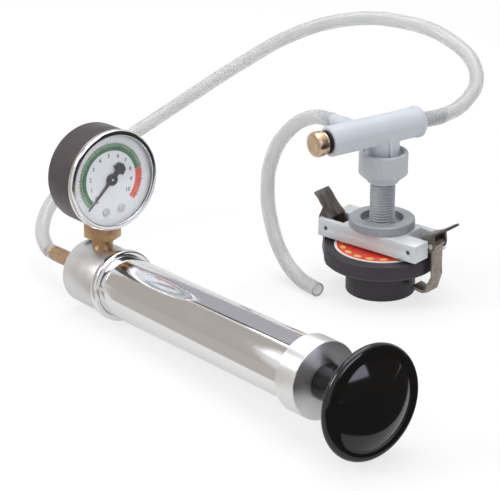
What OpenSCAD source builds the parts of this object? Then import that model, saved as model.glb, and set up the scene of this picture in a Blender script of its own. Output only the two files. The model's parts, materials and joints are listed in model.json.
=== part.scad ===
// Radiator pressure tester: a hand pump with a dial gauge, joined by a hose
// to a tee and a screw clamp that seals on a filler neck. Lengths are in mm.
// The origin is the middle of the seal's foot, +X runs along the clamp plate.

/* [Pump barrel] */
// Outer diameter of the barrel tube
tube_d = 33; // [32:0.5:34]
// Wall of the barrel tube
tube_wall = 1.5; // [1.2:0.1:2]
// Outer diameter of the head
head_d = 35.5; // [35:0.5:37]
// Head behind the gauge stem
head_back = 12.5; // [11:0.5:15]
// Head in front of the gauge stem
head_front = 16.5; // [15:0.5:19]
// Wall of the polished ring at the head
ring_wall = 2.75; // [2.25:0.05:3.5]
// Length of the polished ring
ring_len = 4; // [3:0.5:6]
// Wall of the rod end cap round the tube
cap_wall = 3; // [2:0.25:4.5]
// Length of the rod end cap
cap_len = 13.5; // [12:0.5:18]
// Depth of the tube's seat in the rod end cap
cap_grip = 9; // [7:0.5:10]
// Length of the brass hose nipple behind the head
nipple_len = 33.5; // [33:0.5:34]

/* [Plunger] */
// Stroke of the piston
stroke = 130; // [120:5:135]
// Diameter of the piston rod
rod_d = 8; // [7:0.5:10]
// Length of the piston body
piston_len = 9; // [7:1:14]
// Diameter of the knob
knob_d = 57; // [50:1:64]
// Diameter of the knob's neck
knob_neck_d = 18.5; // [16:0.5:22]
// From the knob's neck to the middle of its rim
knob_len = 31.5; // [28:0.5:36]
// Rise of the knob's face over its rim
knob_dome = 7; // [4:0.5:10]
// Radius of the knob's rolled rim
knob_roll = 2.6; // [2:0.1:3.2]

/* [Gauge] */
// Outer diameter of the bezel
bezel_d = 54; // [50:1:60]
// Depth of the gauge from its back to the bezel's front
gauge_depth = 25; // [23:0.5:30]
// Bezel front ahead of the stem
gauge_front = 12; // [11:0.5:13]
// Dial centre above the barrel's axis
gauge_h = 55.5; // [54:0.5:62]
// Hexagon across flats on the gauge socket
socket_af = 17; // [14:0.5:19]
// Diameter of the gauge socket's thread
socket_d = 11; // [10:0.5:12]
// Length of the needle from its pivot to its tip
needle_len = 20.6; // [17:0.2:21.4]
// Distance from the needle's shaft to the sector gear's arbor
gear_gap = 11.75; // [11:0.25:12.5]

/* [Hoses] */
// Outer diameter of both hoses
hose_d = 8; // [7.6:0.2:9]

/* [Clamp] */
// Length of the clamp plate
plate_len = 65; // [62:1:70]
// Width of the clamp plate
plate_w = 28; // [26:1:34]
// Thickness of the clamp plate
plate_t = 9.5; // [9:0.5:12]
// Diameter of the ring nut
nut_d = 36; // [30:0.5:37]
// Height of the ring nut
nut_h = 5.2; // [4.4:0.2:8]
// Outer diameter of the ring nut's sleeve in the plate
sleeve_d = 20; // [18:0.5:22]
// Outer diameter of the threaded tube
thread_d = 13.7; // [13:0.1:14.5]
// Pitch of the tube's thread
thread_pitch = 1.5; // [1:0.25:2.5]
// Bore of the threaded tube
tube_bore = 7; // [5:0.5:8]
// Clear length of the threaded tube over the ring nut
thread_clear = 20.4; // [16:0.2:26]
// Width of the levers
lever_w = 12; // [10:0.5:13]
// Sheet thickness of the levers
lever_t = 1.2; // [1:0.1:1.5]
// Diameter of the pins in the plate
pin_d = 2.5; // [2:0.1:3]
// Thickness of the hooks' strap
hook_t = 1.5; // [1.2:0.1:1.8]
// Length of the hooks below their pins
hook_len = 29; // [27:0.5:30]
// Angle that the left lever stands raised over the right one
left_raise = 17; // [0:1:18]

/* [Neck seal] */
// Diameter of the seal's plug
plug_d = 38; // [36:0.5:40]
// Diameter of the seal's flange
flange_d = 62; // [58:1:64]
// Height of the seal from its foot to its flange's top
seal_h = 25.5; // [25:0.5:30]
// Thickness of the seal's flange
flange_edge = 9; // [8:0.5:9.5]
// Diameter of the round label
label_d = 51; // [44:1:56]
// Thickness of the label
label_t = 0.4; // [0.3:0.1:0.6]

/* [Tee] */
// Outer diameter of the tee
tee_d = 16.4; // [16:0.2:18]
// Tee's end with the button, from the clamp's axis
tee_left = 37; // [35:0.5:40]
// Tee's end with the pump hose, from the clamp's axis
tee_right = 24; // [23.5:0.5:24.5]
// Diameter of the cup under the tee
cup_d = 26.5; // [24:0.5:30]
// Height of the cup's cone
cup_cone = 5; // [4:0.5:8]
// Height of the cup over its cone
cup_h = 12; // [10:0.5:14]
// Diameter of the tee's neck in the cup
neck_d = 17; // [15:0.5:18]
// Tee's axis over the cup's top
tee_rise = 12.4; // [11:0.2:15]
// Diameter of the release button
button_d = 13.6; // [12:0.2:15]
// Length of the release button
button_len = 7; // [6.5:0.5:9]
// Travel of the release button
button_travel = 1.5; // [1:0.1:2]

/* [Fits] */
// Radial clearance of running fits
run = 0.05; // [0.03:0.01:0.08]
// Radial clearance of fixed fits
fit = 0.02; // [0.01:0.01:0.03]

/* [Hidden] */
$fn = 64;

// Stations along the barrel, from the gauge stem's axis
tube_bore_d = tube_d - 2 * tube_wall;
ring_d = tube_d + 2 * ring_wall;
cap_d = tube_d + 2 * cap_wall;
gasket_t = 1;
tube_start = head_front + gasket_t;
spigot_len = 11;
spigot_end = head_front + spigot_len;
piston_gap = 5;
piston_nut_h = 3;
cup_t = 3;
cup_start = spigot_end + piston_gap;
piston_start = cup_start + cup_t;
piston_end = piston_start + piston_len;
bush_flange_t = 2;
end_gap = 3;
tube_end = piston_end + stroke + end_gap + bush_flange_t;
cap_back = tube_end - cap_grip;
cap_face = cap_back + cap_len;
knob_gap = 0.5;
knob_start = cap_face + knob_gap;
rim_s = knob_start + knob_len;

// The pump lies on the edge of its head and on the knob's rim
edge_bevel = 0.8;
contact_ds = rim_s + head_back - edge_bevel;
contact_dr = (knob_d / 2 - knob_roll) - (head_d / 2 - edge_bevel);
contact_span = norm([contact_ds, contact_dr]);
pump_tilt = atan2(contact_dr, contact_ds) + asin((knob_roll - edge_bevel) / contact_span);
pump_z = knob_roll + (knob_d / 2 - knob_roll) * cos(pump_tilt) - rim_s * sin(pump_tilt);
pump_place = [-98, -115.5, pump_z];
pump_turn = [-3, -pump_tilt, -12];

// Stations in the gauge, from its stem's axis
case_wall = 1.2;
case_d = bezel_d - 1;
gauge_back = gauge_front - gauge_depth;
lip_t = 1;
socket_gap = 0.06;
lens_t = 1;
lens_back = gauge_front - lip_t - lens_t;
dial_t = 0.8;
dial_back = lens_back - 2.8;
dial_d = case_d - 2 * case_wall - 0.2;
needle_back = dial_back + 1.5;
needle_t = 0.6;
socket_top = gauge_h - case_d / 2 + 1.5;
socket_hex_h = 8.5;
socket_bottom = 7;
arbor_d = 1.2;
gear_ratio = 8;
pinion_teeth = 10;
pinion_d = 2 * gear_gap / (gear_ratio + 1);
tooth_angle = 360 / (gear_ratio * pinion_teeth);
sector_teeth = 11;
sector_rest = -16.5;
sector_tail = 6;
frame_t = 1;
frame_back = dial_back - 8.8;
frame_front = dial_back - 4.8;
gear_back = frame_back + frame_t + 0.5;
gear_t = 2;
sector_angle = 227;
needle_rest = 225.5;
stop_r = 14;

// Heights in the clamp, from the foot
plate_gap = 2;
plate_z = seal_h + plate_gap;
plate_top = plate_z + plate_t;
nut_z = plate_top + run;
nut_top = nut_z + nut_h;
cup_z = nut_top + thread_clear;
cup_top = cup_z + cup_cone + cup_h;
tee_z = cup_top + tee_rise;
tee_yaw = 74;
thread_depth = 0.6;
tube_foot = 2;
tube_in_cup = 7;
tube_top = cup_z + tube_in_cup;
clip_t = 1.1;
slot_side = 0.5;
slot_in = 14.5;
clip_room = 1.8;
lever_y = 4;
pivot_x = plate_len / 2 - 5;
pivot_z = plate_top - 4.5;
hook_pin = [6.2, 1.5];
hook_pin_d = 2;
hook_w = lever_w - 2 * lever_t - 0.6;

// Stations along the tee, from the clamp's axis
button_bore_d = 10;
seat_s = -12;
seat_web = 4;
seat_d = 4.4;
chamber_d = 8;
stem_d = 3;
dust_t = 0.9;
spring_wire = 0.8;
bush_len = 6;
drain_s = -19;
drain_rise = 3;
drain_port_d = 6;
drain_boss = 9.5;
inlet_len = 17;

// Route of the pump hose, from the nipple to the tee
pump_route = [
    [-143, -106, 16], [-151, -104, 16], [-159, -99, 18], [-168, -90, 22],
    [-175, -79, 26], [-180, -65, 31], [-182, -49, 37], [-180, -31, 44],
    [-175, -13, 51], [-167, 3, 59], [-159, 17, 69], [-149, 31, 79],
    [-139, 44, 90], [-127, 57, 99], [-114, 69, 108], [-99, 81, 114],
    [-82, 90, 117], [-63, 97, 118], [-44, 100, 116], [-25, 98, 112],
    [-8, 91, 107], [5, 79, 102], [12, 64, 97], [13, 50, 93],
    [11, 39, 92], [7, 24, 92]
];
// Route of the drain hose, from the tee to its open end
drain_route = [
    [-24, -13, 95], [-32, -11, 95], [-41, -10, 93], [-50, -11, 88],
    [-57, -13, 80], [-62, -15, 69], [-65, -16, 57], [-65, -18, 45],
    [-63, -19, 33], [-58, -20, 21], [-50, -22, 11], [-40, -25, 5],
    [-30, -28, 4], [-19, -31, 4]
];

// A round bar along X
module bar(x0, x1, d) {
    translate([x0, 0, 0]) rotate([0, 90, 0]) cylinder(h = x1 - x0, d = d);
}

// A tube along X
module sleeve(x0, x1, d, bore) {
    translate([x0, 0, 0]) rotate([0, 90, 0]) difference() {
        cylinder(h = x1 - x0, d = d);
        translate([0, 0, -1]) cylinder(h = x1 - x0 + 2, d = bore);
    }
}

// A body turned about X from an outline of radius and place
module turned(outline) {
    rotate([0, 90, 0]) rotate_extrude() polygon(outline);
}

// A seal ring about X
module ring_about_x(x, r, section) {
    translate([x, 0, 0]) rotate([0, 90, 0]) rotate_extrude() translate([r, 0]) circle(d = section);
}

// Sets its children on the pump's axis, +X towards the knob, +Z towards the gauge
module on_pump() {
    translate(pump_place) rotate(pump_turn) children();
}

// Sets its children in the gauge, +X out of the dial, at the dial's centre
module in_gauge() {
    on_pump() translate([0, 0, gauge_h]) children();
}

// Sets its children on the tee's axis, +X towards the pump hose
module on_tee() {
    translate([0, 0, tee_z]) rotate([0, 0, tee_yaw]) children();
}

// Turns its children half way round for the left side
module on_side(side) {
    rotate([0, 0, side == "left" ? 180 : 0]) children();
}

// Points on an arc, as radius and place
function arc(c, r, a0, a1, n) = [for (i = [0:n]) c + r * [cos(a0 + (a1 - a0) * i / n), sin(a0 + (a1 - a0) * i / n)]];

// Direction of a route at one of its points, and a normal carried along it
function heading(p, i) = let (v = p[min(i + 1, len(p) - 1)] - p[max(i - 1, 0)]) v / norm(v);
function across(n, t) = let (v = n - (n * t) * t) v / norm(v);
function normals(p, i, n) = i == len(p) ? [] : let (m = across(n, heading(p, i))) concat([m], normals(p, i + 1, m));

// A round tube or wire swept along a route
module swept(p, d, sides, start) {
    n = normals(p, 0, start);
    last = len(p) - 1;
    points = [for (i = [0:last]) let (t = heading(p, i), b = cross(t, n[i])) for (k = [0:sides - 1])
        p[i] + d / 2 * (cos(360 * k / sides) * n[i] + sin(360 * k / sides) * b)];
    sides_of = [for (i = [0:last - 1], k = [0:sides - 1]) let (
        a = i * sides + k, b = i * sides + (k + 1) % sides) each [[a, a + sides, b], [b, a + sides, b + sides]]];
    ends = [for (k = [1:sides - 2]) each [[0, k, k + 1], [last * sides, last * sides + k + 1, last * sides + k]]];
    polyhedron(points, concat(sides_of, ends));
}

// Places along a helix about X
function helix(x0, x1, r, turns, steps) = [for (i = [0:turns * steps])
    let (a = 360 * i / steps, f = i / (turns * steps)) [x0 + (x1 - x0) * f, r * cos(a), r * sin(a)]];

// ---- Pump barrel ----

module pump_tube() {
    color("gainsboro") on_pump() sleeve(tube_start, tube_end, tube_d, tube_bore_d);
}

module pump_head() {
    spot_d = 21;
    spot_z = head_d / 2 - 1.4;
    color("silver") on_pump() difference() {
        union() {
            turned([[0, -head_back], [head_d / 2 - edge_bevel, -head_back],
                [head_d / 2, -head_back + edge_bevel], [head_d / 2, head_front], [0, head_front]]);
            bar(0, spigot_end, tube_bore_d - 2 * fit);
        }
        translate([0, 0, spot_z]) cylinder(h = head_d, d = spot_d);
        translate([0, 0, socket_bottom]) cylinder(h = head_d, d = socket_d + 2 * fit);
        translate([0, 0, -2]) cylinder(h = head_d / 2, d = 4);
        bar(-head_back - 1, -nipple_thread_end(), nipple_thread_d() + 2 * fit);
        bar(-nipple_thread_end() - 1, spigot_end, 4);
        bar(check_back(), spigot_end + 1, check_d() + 2 * fit);
    }
}

function nipple_thread_d() = 9.6;
function nipple_thread_end() = 4;
function check_d() = 9;
function check_back() = head_front - 5;

module head_ring() {
    lead = 0.6;
    x0 = head_front + 0.05;
    color("whitesmoke") on_pump() difference() {
        turned([[0, x0], [ring_d / 2 - lead, x0], [ring_d / 2, x0 + lead],
            [ring_d / 2, x0 + ring_len - lead], [ring_d / 2 - lead, x0 + ring_len], [0, x0 + ring_len]]);
        bar(x0 - 1, x0 + ring_len + 1, tube_d + 2 * fit);
    }
}

module head_gasket() {
    color("dimgray") on_pump() sleeve(head_front, tube_start, tube_d, tube_bore_d);
}

module check_seat() {
    seat_len = 5;
    color("goldenrod") on_pump() sleeve(spigot_end - seat_len, spigot_end, check_d(), 3.6);
}

// The ball lies on the rim of the seat's bore
function ball_d() = 6;
function ball_s() = spigot_end - 5 - sqrt(pow(ball_d() / 2, 2) - pow(1.8, 2)) - 0.02;

module check_ball() {
    color("silver") on_pump() translate([ball_s(), 0, 0]) sphere(d = ball_d());
}

module check_spring() {
    wire = 0.7;
    x0 = check_back() + wire / 2 + 0.05;
    x1 = ball_s() - ball_d() / 2 - wire / 2;
    color("silver") on_pump() swept(helix(x0, x1, 2, 3, 8), wire, 6, [1, 0, 0]);
}

module hose_nipple() {
    end = -head_back - nipple_len;
    tail = 8;
    body_d = 8.4;
    tail_d = 5;
    rib_h = 0.5;
    pitch = 3.6;
    color("peru") on_pump() difference() {
        union() {
            bar(-head_back, -nipple_thread_end() - 0.1, nipple_thread_d());
            translate([-head_back - 8, 0, 0]) rotate([0, 90, 0]) cylinder(h = 8, d = 11, $fn = 6);
            bar(end, -head_back - 8, body_d);
            turned(concat([[0, end - tail], [tail_d / 2 - 0.3, end - tail]],
                [for (i = [1:-1:0]) each [[tail_d / 2 + rib_h, end - i * pitch - 2.6], [tail_d / 2, end - i * pitch]]],
                [[0, end]]));
        }
        bar(end - tail - 1, 0, 3);
    }
}

module rod_end_cap() {
    lead = 1;
    color("silver") on_pump() difference() {
        turned([[0, cap_back], [cap_d / 2 - lead, cap_back], [cap_d / 2, cap_back + lead],
            [cap_d / 2, cap_face - lead], [cap_d / 2 - lead, cap_face], [0, cap_face]]);
        bar(cap_back - 1, tube_end, tube_d + 2 * fit);
        bar(tube_end - 1, cap_face + 1, bush_d() + 2 * fit);
    }
}

function bush_d() = rod_d + 5;

module rod_bush() {
    color("goldenrod") on_pump() difference() {
        union() {
            bar(tube_end - bush_flange_t, cap_face, bush_d());
            bar(tube_end - bush_flange_t, tube_end - fit, bush_d() + 6);
        }
        bar(tube_end - bush_flange_t - 1, cap_face + 1, rod_d + 2 * run);
    }
}

// ---- Plunger ----

function rod_tip_d() = 5;
function rod_in_knob() = 22;

module piston_rod() {
    color("silver") on_pump() union() {
        bar(cup_start - piston_nut_h - 0.5, piston_end + 1, rod_tip_d());
        bar(piston_end, knob_start + rod_in_knob(), rod_d);
    }
}

module piston() {
    play = 0.4;
    color("slategray") on_pump()
        sleeve(piston_start, piston_end, tube_bore_d - 2 * play, rod_tip_d() + 2 * fit);
}

module piston_cup() {
    color("black") on_pump() difference() {
        turned([[0, cup_start + 0.8], [tube_bore_d / 2 - 3, cup_start + 0.8], [tube_bore_d / 2 - 2, cup_start],
            [tube_bore_d / 2 - run, cup_start], [tube_bore_d / 2 - run, piston_start], [0, piston_start]]);
        bar(cup_start - 1, piston_start + 1, rod_tip_d() + 2 * fit);
    }
}

module piston_nut() {
    color("goldenrod") on_pump() translate([cup_start + 0.8 - piston_nut_h, 0, 0]) rotate([0, 90, 0]) difference() {
        cylinder(h = piston_nut_h, d = 9.8, $fn = 6);
        translate([0, 0, -1]) cylinder(h = piston_nut_h + 2, d = rod_tip_d() + 2 * fit);
    }
}

module pump_knob() {
    s = knob_start;
    neck = knob_neck_d / 2;
    rim = [knob_d / 2 - knob_roll, rim_s];
    face_r = rim[0] - knob_roll;
    face_s = rim_s + knob_roll - 0.6;
    dome_r = (face_r * face_r + knob_dome * knob_dome) / (2 * knob_dome);
    dome_a = asin(face_r / dome_r);
    bore_end = s + rod_in_knob();
    color([0.05, 0.05, 0.05]) on_pump() turned(concat(
        [[rod_d / 2 + fit, s], [neck - 0.8, s], [neck, s + 0.8], [neck - 0.3, s + 8]],
        [[neck + 1, s + 12], [neck + 4, s + 16.5], [neck + 8.5, s + 20.5], [rim[0] - 3.5, rim_s - 4.6]],
        arc(rim, knob_roll, -55, 80, 9),
        [for (i = [0:7]) let (a = dome_a * (1 - i / 8)) [dome_r * sin(a), face_s + knob_dome - dome_r * (1 - cos(a))]],
        [[0, face_s + knob_dome], [0, bore_end + 0.2], [rod_d / 2 + fit, bore_end + 0.2]]));
}

// ---- Gauge ----

function case_inner_r() = case_d / 2 - case_wall;
function bezel_back() = gauge_front - 3;
function pad_z() = gauge_h - case_inner_r() + 0.9;
function pad_top() = pad_z() + 2.2;
function coil_r() = 18;
function coil_t() = 2;
function coil_w() = 5.5;
function coil_back() = frame_back - 0.3 - coil_w();
function coil_front() = coil_back() + coil_w() - 0.3;

module gauge_socket() {
    block_w = 12;
    block_h = 8;
    neck_top = socket_d - 1;
    color("peru") on_pump() difference() {
        union() {
            translate([0, 0, socket_bottom + 0.5])
                cylinder(h = socket_top - socket_hex_h - socket_bottom, d = socket_d);
            difference() {
                translate([0, 0, socket_top - socket_hex_h]) cylinder(h = socket_hex_h, d = socket_af / cos(30), $fn = 6);
                translate([0, 0, gauge_h]) bar(-gauge_depth, gauge_depth, case_d + 2 * socket_gap);
                translate([0, 0, gauge_h]) bar(bezel_back() - 0.1, gauge_depth, bezel_d + 2 * socket_gap);
            }
            translate([0, 0, socket_top - socket_hex_h]) cylinder(h = pad_top() - socket_top + socket_hex_h, d = neck_top);
            translate([coil_back(), -block_w / 2, pad_z()]) cube([-coil_back(), block_w, pad_top() - pad_z()]);
            translate([coil_back(), -block_w / 2, pad_z()]) cube([coil_w() + 0.2, block_w, block_h]);
        }
        translate([0, 0, -1]) cylinder(h = pad_top() - 1, d = 3);
        translate([0, 0, gauge_h]) bar(dial_back - 0.3, gauge_depth, 2 * case_inner_r() + 0.1);
        translate([0, 0, gauge_h]) intersection() {
            bar(-gauge_depth, -coil_back(), case_d + 2 * fit);
            difference() {
                bar(-gauge_depth, gauge_depth, case_d);
                bar(-gauge_depth - 1, gauge_depth + 1, 2 * case_inner_r() - 0.2);
                translate([0, 0, -case_d]) cylinder(h = case_d, d = neck_top);
            }
        }
    }
}

module gauge_case() {
    r = case_d / 2;
    back_round = 3;
    color([0.16, 0.15, 0.15]) in_gauge() difference() {
        turned(concat([[0, gauge_back]], arc([r - back_round, gauge_back + back_round], back_round, -90, 0, 6),
            [[r, lens_back], [r - case_wall, lens_back], [r - case_wall, gauge_back + 1.4], [0, gauge_back + 1.4]]));
        translate([0, 0, -case_d]) cylinder(h = case_d, d = socket_d - 1 + 2 * fit);
    }
}

module gauge_bezel() {
    lead = 0.9;
    x0 = bezel_back();
    lip_d = case_d - 5;
    color("gainsboro") in_gauge() difference() {
        turned([[0, x0], [bezel_d / 2 - 0.2, x0], [bezel_d / 2, x0 + 0.2], [bezel_d / 2, gauge_front - lead],
            [bezel_d / 2 - lead, gauge_front], [lip_d / 2 + 0.5, gauge_front], [lip_d / 2, gauge_front - 0.5],
            [0, gauge_front - 0.5]]);
        bar(x0 - 1, gauge_front - lip_t, case_d + 2 * fit);
        bar(x0, gauge_front + 1, lip_d);
    }
}

module gauge_lens() {
    color([0.8, 0.9, 0.95, 0.3]) in_gauge() bar(lens_back + fit, gauge_front - lip_t - fit, case_d - 2 * fit);
}

// Places of the two screws that hold the dial
function screw_places() = [for (a = [259, 291]) 17.4 * [cos(a), sin(a)]];

module gauge_dial() {
    color("white") in_gauge() difference() {
        bar(dial_back, dial_back + dial_t, dial_d);
        bar(dial_back - 1, dial_back + dial_t + 1, 3.4);
        for (p = screw_places()) translate([0, p[0], p[1]]) bar(dial_back - 1, dial_back + dial_t + 1, 2 + 2 * fit);
        translate([0, stop_place()[0], stop_place()[1]]) bar(dial_back - 1, dial_back + dial_t + 1, 0.9 + 2 * fit);
    }
}

module dial_screws() {
    color("silver") in_gauge() for (p = screw_places()) translate([0, p[0], p[1]]) {
        bar(frame_front + frame_t + 0.02, dial_back + dial_t + 0.5, 2);
        bar(dial_back + dial_t, dial_back + dial_t + 1, 4.2);
    }
}

// The stop pin stands just past the needle's place of rest
function stop_place() = stop_r * [cos(needle_rest + 4.5), sin(needle_rest + 4.5)];

module dial_stop_pin() {
    color("silver") in_gauge() translate([0, stop_place()[0], stop_place()[1]])
        bar(dial_back - 0.5, needle_back + needle_t + 0.5, 0.9);
}

// The Bourdon tube runs round from the socket's block to its free tip
function coil_start() = -69;
function coil_tip() = 178;
function tip_place() = coil_r() * [cos(coil_tip() + 4), sin(coil_tip() + 4)];

module bourdon_tube() {
    wall = 0.5;
    block = 3;
    pin = 0.8;
    color("goldenrod") in_gauge() {
        translate([coil_back(), 0, 0]) rotate([90, 0, 90]) rotate([0, 0, coil_start()])
            rotate_extrude(angle = coil_tip() - coil_start()) difference() {
                translate([coil_r() - coil_t() / 2, 0.1]) square([coil_t(), coil_w() - 0.4]);
                translate([coil_r() - coil_t() / 2 + wall, 0.1 + wall]) square([coil_t() - 2 * wall, coil_w() - 0.4 - 2 * wall]);
            }
        translate([coil_back() + 0.1, tip_place()[0] - block / 2, tip_place()[1] - block / 2])
            cube([coil_w() - 0.4, block, block]);
        translate([0, tip_place()[0], tip_place()[1]]) bar(coil_front() - 1, gear_back + gear_t + 0.7, pin);
    }
}

// Middle of the sector gear's arbor, below and left of the needle's shaft
function arbor_place() = gear_gap * [cos(sector_angle), sin(sector_angle)];

module movement_frame() {
    half = 9.5;
    color("goldenrod") in_gauge() difference() {
        union() {
            for (x = [frame_back, frame_front]) translate([x, -half - 3, -20]) cube([frame_t, 2 * half + 6, 26]);
            for (p = [[-half - 1, 4], [half + 1, 4], [half + 1, -18]]) translate([0, p[0], p[1]])
                bar(frame_back + 0.5, frame_front + 0.5, 2.2);
        }
        bar(frame_back - 1, frame_front + 2, arbor_d + 2 * run);
        translate([0, arbor_place()[0], arbor_place()[1]]) bar(frame_back - 1, frame_front + 2, arbor_d + 2 * run);
    }
}

// The sector's middle points from its arbor past the needle's shaft
function sector_turn() = sector_angle - 180 + sector_rest;

module sector_gear() {
    reach = gear_gap - pinion_d / 2 - 0.15;
    spread = (sector_teeth - 1) / 2 * tooth_angle + 1.5;
    color("darkgoldenrod") in_gauge() translate([0, arbor_place()[0], arbor_place()[1]]) {
        bar(frame_back, frame_front + frame_t, arbor_d);
        translate([gear_back, 0, 0]) rotate([90, 0, 90]) rotate([0, 0, sector_turn()]) difference() {
            linear_extrude(gear_t) union() {
                polygon(concat([[0, 0]], [for (i = [-6:6]) reach * [cos(spread * i / 6), sin(spread * i / 6)]]));
                circle(d = 4);
                polygon([[0, -1.4], [0, 1.4], [-sector_tail - 0.8, 0.9], [-sector_tail - 0.8, -0.9]]);
            }
            translate([0, 0, -1]) cylinder(h = gear_t + 2, d = arbor_d);
            for (i = [0:sector_teeth - 1]) rotate([0, 0, (i - (sector_teeth - 1) / 2) * tooth_angle])
                translate([reach, 0, -1]) cylinder(h = gear_t + 2, d = 0.5);
        }
    }
}

module bourdon_link() {
    tail = arbor_place() - sector_tail * [cos(sector_turn()), sin(sector_turn())];
    color("goldenrod") in_gauge() translate([gear_back + gear_t + 0.1, 0, 0]) rotate([90, 0, 90])
        linear_extrude(0.35) difference() {
            hull() {
                translate(tail) circle(d = 1.6, $fn = 24);
                translate(tip_place()) circle(d = 1.6, $fn = 24);
            }
            translate(tail) circle(d = 0.6);
            translate(tip_place()) circle(d = 0.84);
        }
}

module hairspring() {
    turns = 3;
    steps = 20;
    r0 = 2.0;
    grow = 0.8;
    spiral = [for (i = [0:turns * steps]) let (a = 360 * i / steps, r = r0 + grow * i / steps) r * [cos(a), sin(a)]];
    outer = [for (i = [turns * steps:-1:0]) let (a = 360 * i / steps, r = r0 + 0.25 + grow * i / steps) r * [cos(a), sin(a)]];
    color("goldenrod") in_gauge() translate([frame_front - 0.42, 0, 0]) rotate([90, 0, 90])
        linear_extrude(0.32) polygon(concat(spiral, outer));
}

module needle_shaft() {
    color("silver") in_gauge() {
        bar(frame_back - 0.4, needle_back + needle_t + 0.6, arbor_d);
        difference() {
            bar(gear_back - 0.1, gear_back + gear_t - 0.3, pinion_d);
            for (i = [0:pinion_teeth - 1]) rotate([360 / pinion_teeth * i, 0, 0]) translate([0, 0, pinion_d / 2])
                bar(gear_back - 1, gear_back + gear_t + 1, 0.4);
        }
    }
}

module gauge_needle() {
    tail_r = 10.4;
    color([0.08, 0.07, 0.07]) in_gauge() translate([needle_back, 0, 0]) rotate([90, 0, 90]) rotate([0, 0, needle_rest])
        difference() {
            union() {
                linear_extrude(needle_t) polygon([[1, -0.9], [needle_len, -0.12], [needle_len, 0.12], [1, 0.9]]);
                linear_extrude(needle_t) polygon([[-1, -1.3], [-1, 1.3], [-5, 1.5], [-6, 3.9], [-9.2, 3],
                    [-tail_r, 0], [-9.2, -3], [-6, -3.9], [-5, -1.5]]);
                cylinder(h = needle_t + 0.5, d = 6.2);
            }
            translate([0, 0, -1]) cylinder(h = 4, d = arbor_d + 2 * fit);
        }
}

// ---- Hoses ----

module pump_hose() {
    color([0.88, 0.88, 0.86]) swept(pump_route, hose_d, 10, [0, 0, 1]);
}

module drain_hose() {
    color([0.88, 0.88, 0.86]) swept(drain_route, hose_d, 10, [0, 0, 1]);
}

// ---- Tee and release valve ----

module tee_body() {
    step = 1;
    web_angle = -28;
    web_t = 1.2;
    web_z = cup_top - rim_depth() + 0.05;
    r = tee_d / 2;
    color([0.8, 0.83, 0.86]) difference() {
        union() {
            on_tee() turned([[0, -tee_left], [r - step, -tee_left], [r, step - tee_left], [r, tee_right - 4.4],
                [r + 0.4, tee_right - 4], [r + 0.4, tee_right - 1.8], [r - 1.4, tee_right], [0, tee_right]]);
            translate([0, 0, neck_foot()]) cylinder(h = tee_z - neck_foot(), d = neck_d);
            rotate([0, 0, web_angle]) translate([0, web_t / 2, 0]) rotate([90, 0, 0]) linear_extrude(web_t)
                polygon([[0, web_z], [neck_d / 2 + 1.7, web_z], [neck_d / 2 + 0.3, tee_z - 4], [0, tee_z - 4]]);
            on_tee() translate([drain_s, 0, drain_rise]) rotate([-90, 0, 0]) cylinder(h = drain_boss, d = 9);
        }
        translate([0, 0, neck_foot() - 1]) cylinder(h = tee_z - neck_foot() + 1, d = tube_bore - 1);
        on_tee() {
            bar(-tee_left - 1, seat_s - seat_web / 2, button_bore_d);
            bar(seat_s - seat_web, seat_s + seat_web, seat_d);
            bar(seat_s + seat_web / 2, tee_right + 1, chamber_d);
            translate([drain_s, 0, drain_rise]) rotate([-90, 0, 0]) cylinder(h = tee_d, d = drain_port_d + 2 * fit);
        }
    }
}

function neck_foot() = cup_top - 6;
function rim_depth() = 1.8;

module tee_inlet_barb() {
    shank = 10;
    end = tee_right + inlet_len;
    ribs = 6;
    pitch = 2.5;
    core = 5.6;
    color([0.68, 0.7, 0.76]) on_tee() difference() {
        union() {
            bar(tee_right - shank, tee_right, chamber_d - 2 * fit);
            bar(tee_right, end, core);
            turned(concat([[0, tee_right], [core / 2, tee_right]],
                [for (i = [0:ribs - 1]) each [[core / 2, tee_right + 1 + i * pitch],
                    [core / 2 + 0.7, tee_right + 1.2 + i * pitch], [core / 2, tee_right + 3.2 + i * pitch]]],
                [[0, end]]));
        }
        bar(tee_right - shank - 1, end + 1, 3);
    }
}

module tee_drain_barb() {
    collar_end = 20;
    tail = 10;
    color([0.78, 0.8, 0.84]) on_tee() translate([drain_s, 0, drain_rise]) rotate([0, 0, 90]) difference() {
        union() {
            bar(button_bore_d / 2 + 0.3, drain_boss + 1, drain_port_d);
            turned([[0, drain_boss + fit], [4.2, drain_boss + fit], [4.2, drain_boss + 3], [3.7, drain_boss + 4],
                [3.7, collar_end], [0, collar_end]]);
            turned([[0, collar_end], [2.5, collar_end], [3, collar_end + 2], [2.5, collar_end + 4.5],
                [3, collar_end + 5], [2.4, collar_end + tail], [0, collar_end + tail]]);
        }
        bar(0, collar_end + tail + 1, 3);
    }
}

module valve_bush() {
    color("goldenrod") on_tee() sleeve(-tee_left, -tee_left + bush_len, button_bore_d - 2 * fit, stem_d + 2 * run);
}

function button_in() = -tee_left - dust_t - 0.1 - button_travel;
function button_out() = button_in() - button_len;
function button_floor() = button_out() + 2;

module valve_button() {
    r = button_d / 2;
    color("peru") on_tee() difference() {
        turned([[0, button_out()], [r - 1.6, button_out()], [r - 0.4, button_out() + 0.7], [r, button_out() + 1.8],
            [r, button_in() - 0.6], [r - 0.6, button_in()], [0, button_in()]]);
        bar(button_floor(), button_in() + 1, 9.2);
        bar(button_out() + 1, button_in() + 1, stem_d + 2 * fit);
    }
}

function ring_section() = 1.4;
function stem_head() = seat_s + seat_web / 2 + ring_section();

module valve_stem() {
    spigot_h = 1.6;
    color("silver") on_tee() {
        bar(button_out() + 1.1, stem_head() + 1, stem_d);
        bar(stem_head() - spigot_h, stem_head() + 1, seat_d - 0.1);
        bar(stem_head(), stem_head() + 2, chamber_d - 0.8);
    }
}

module valve_seal_ring() {
    color("black") on_tee()
        ring_about_x(stem_head() - ring_section() / 2, (seat_d + ring_section()) / 2, ring_section() - fit);
}

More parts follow.
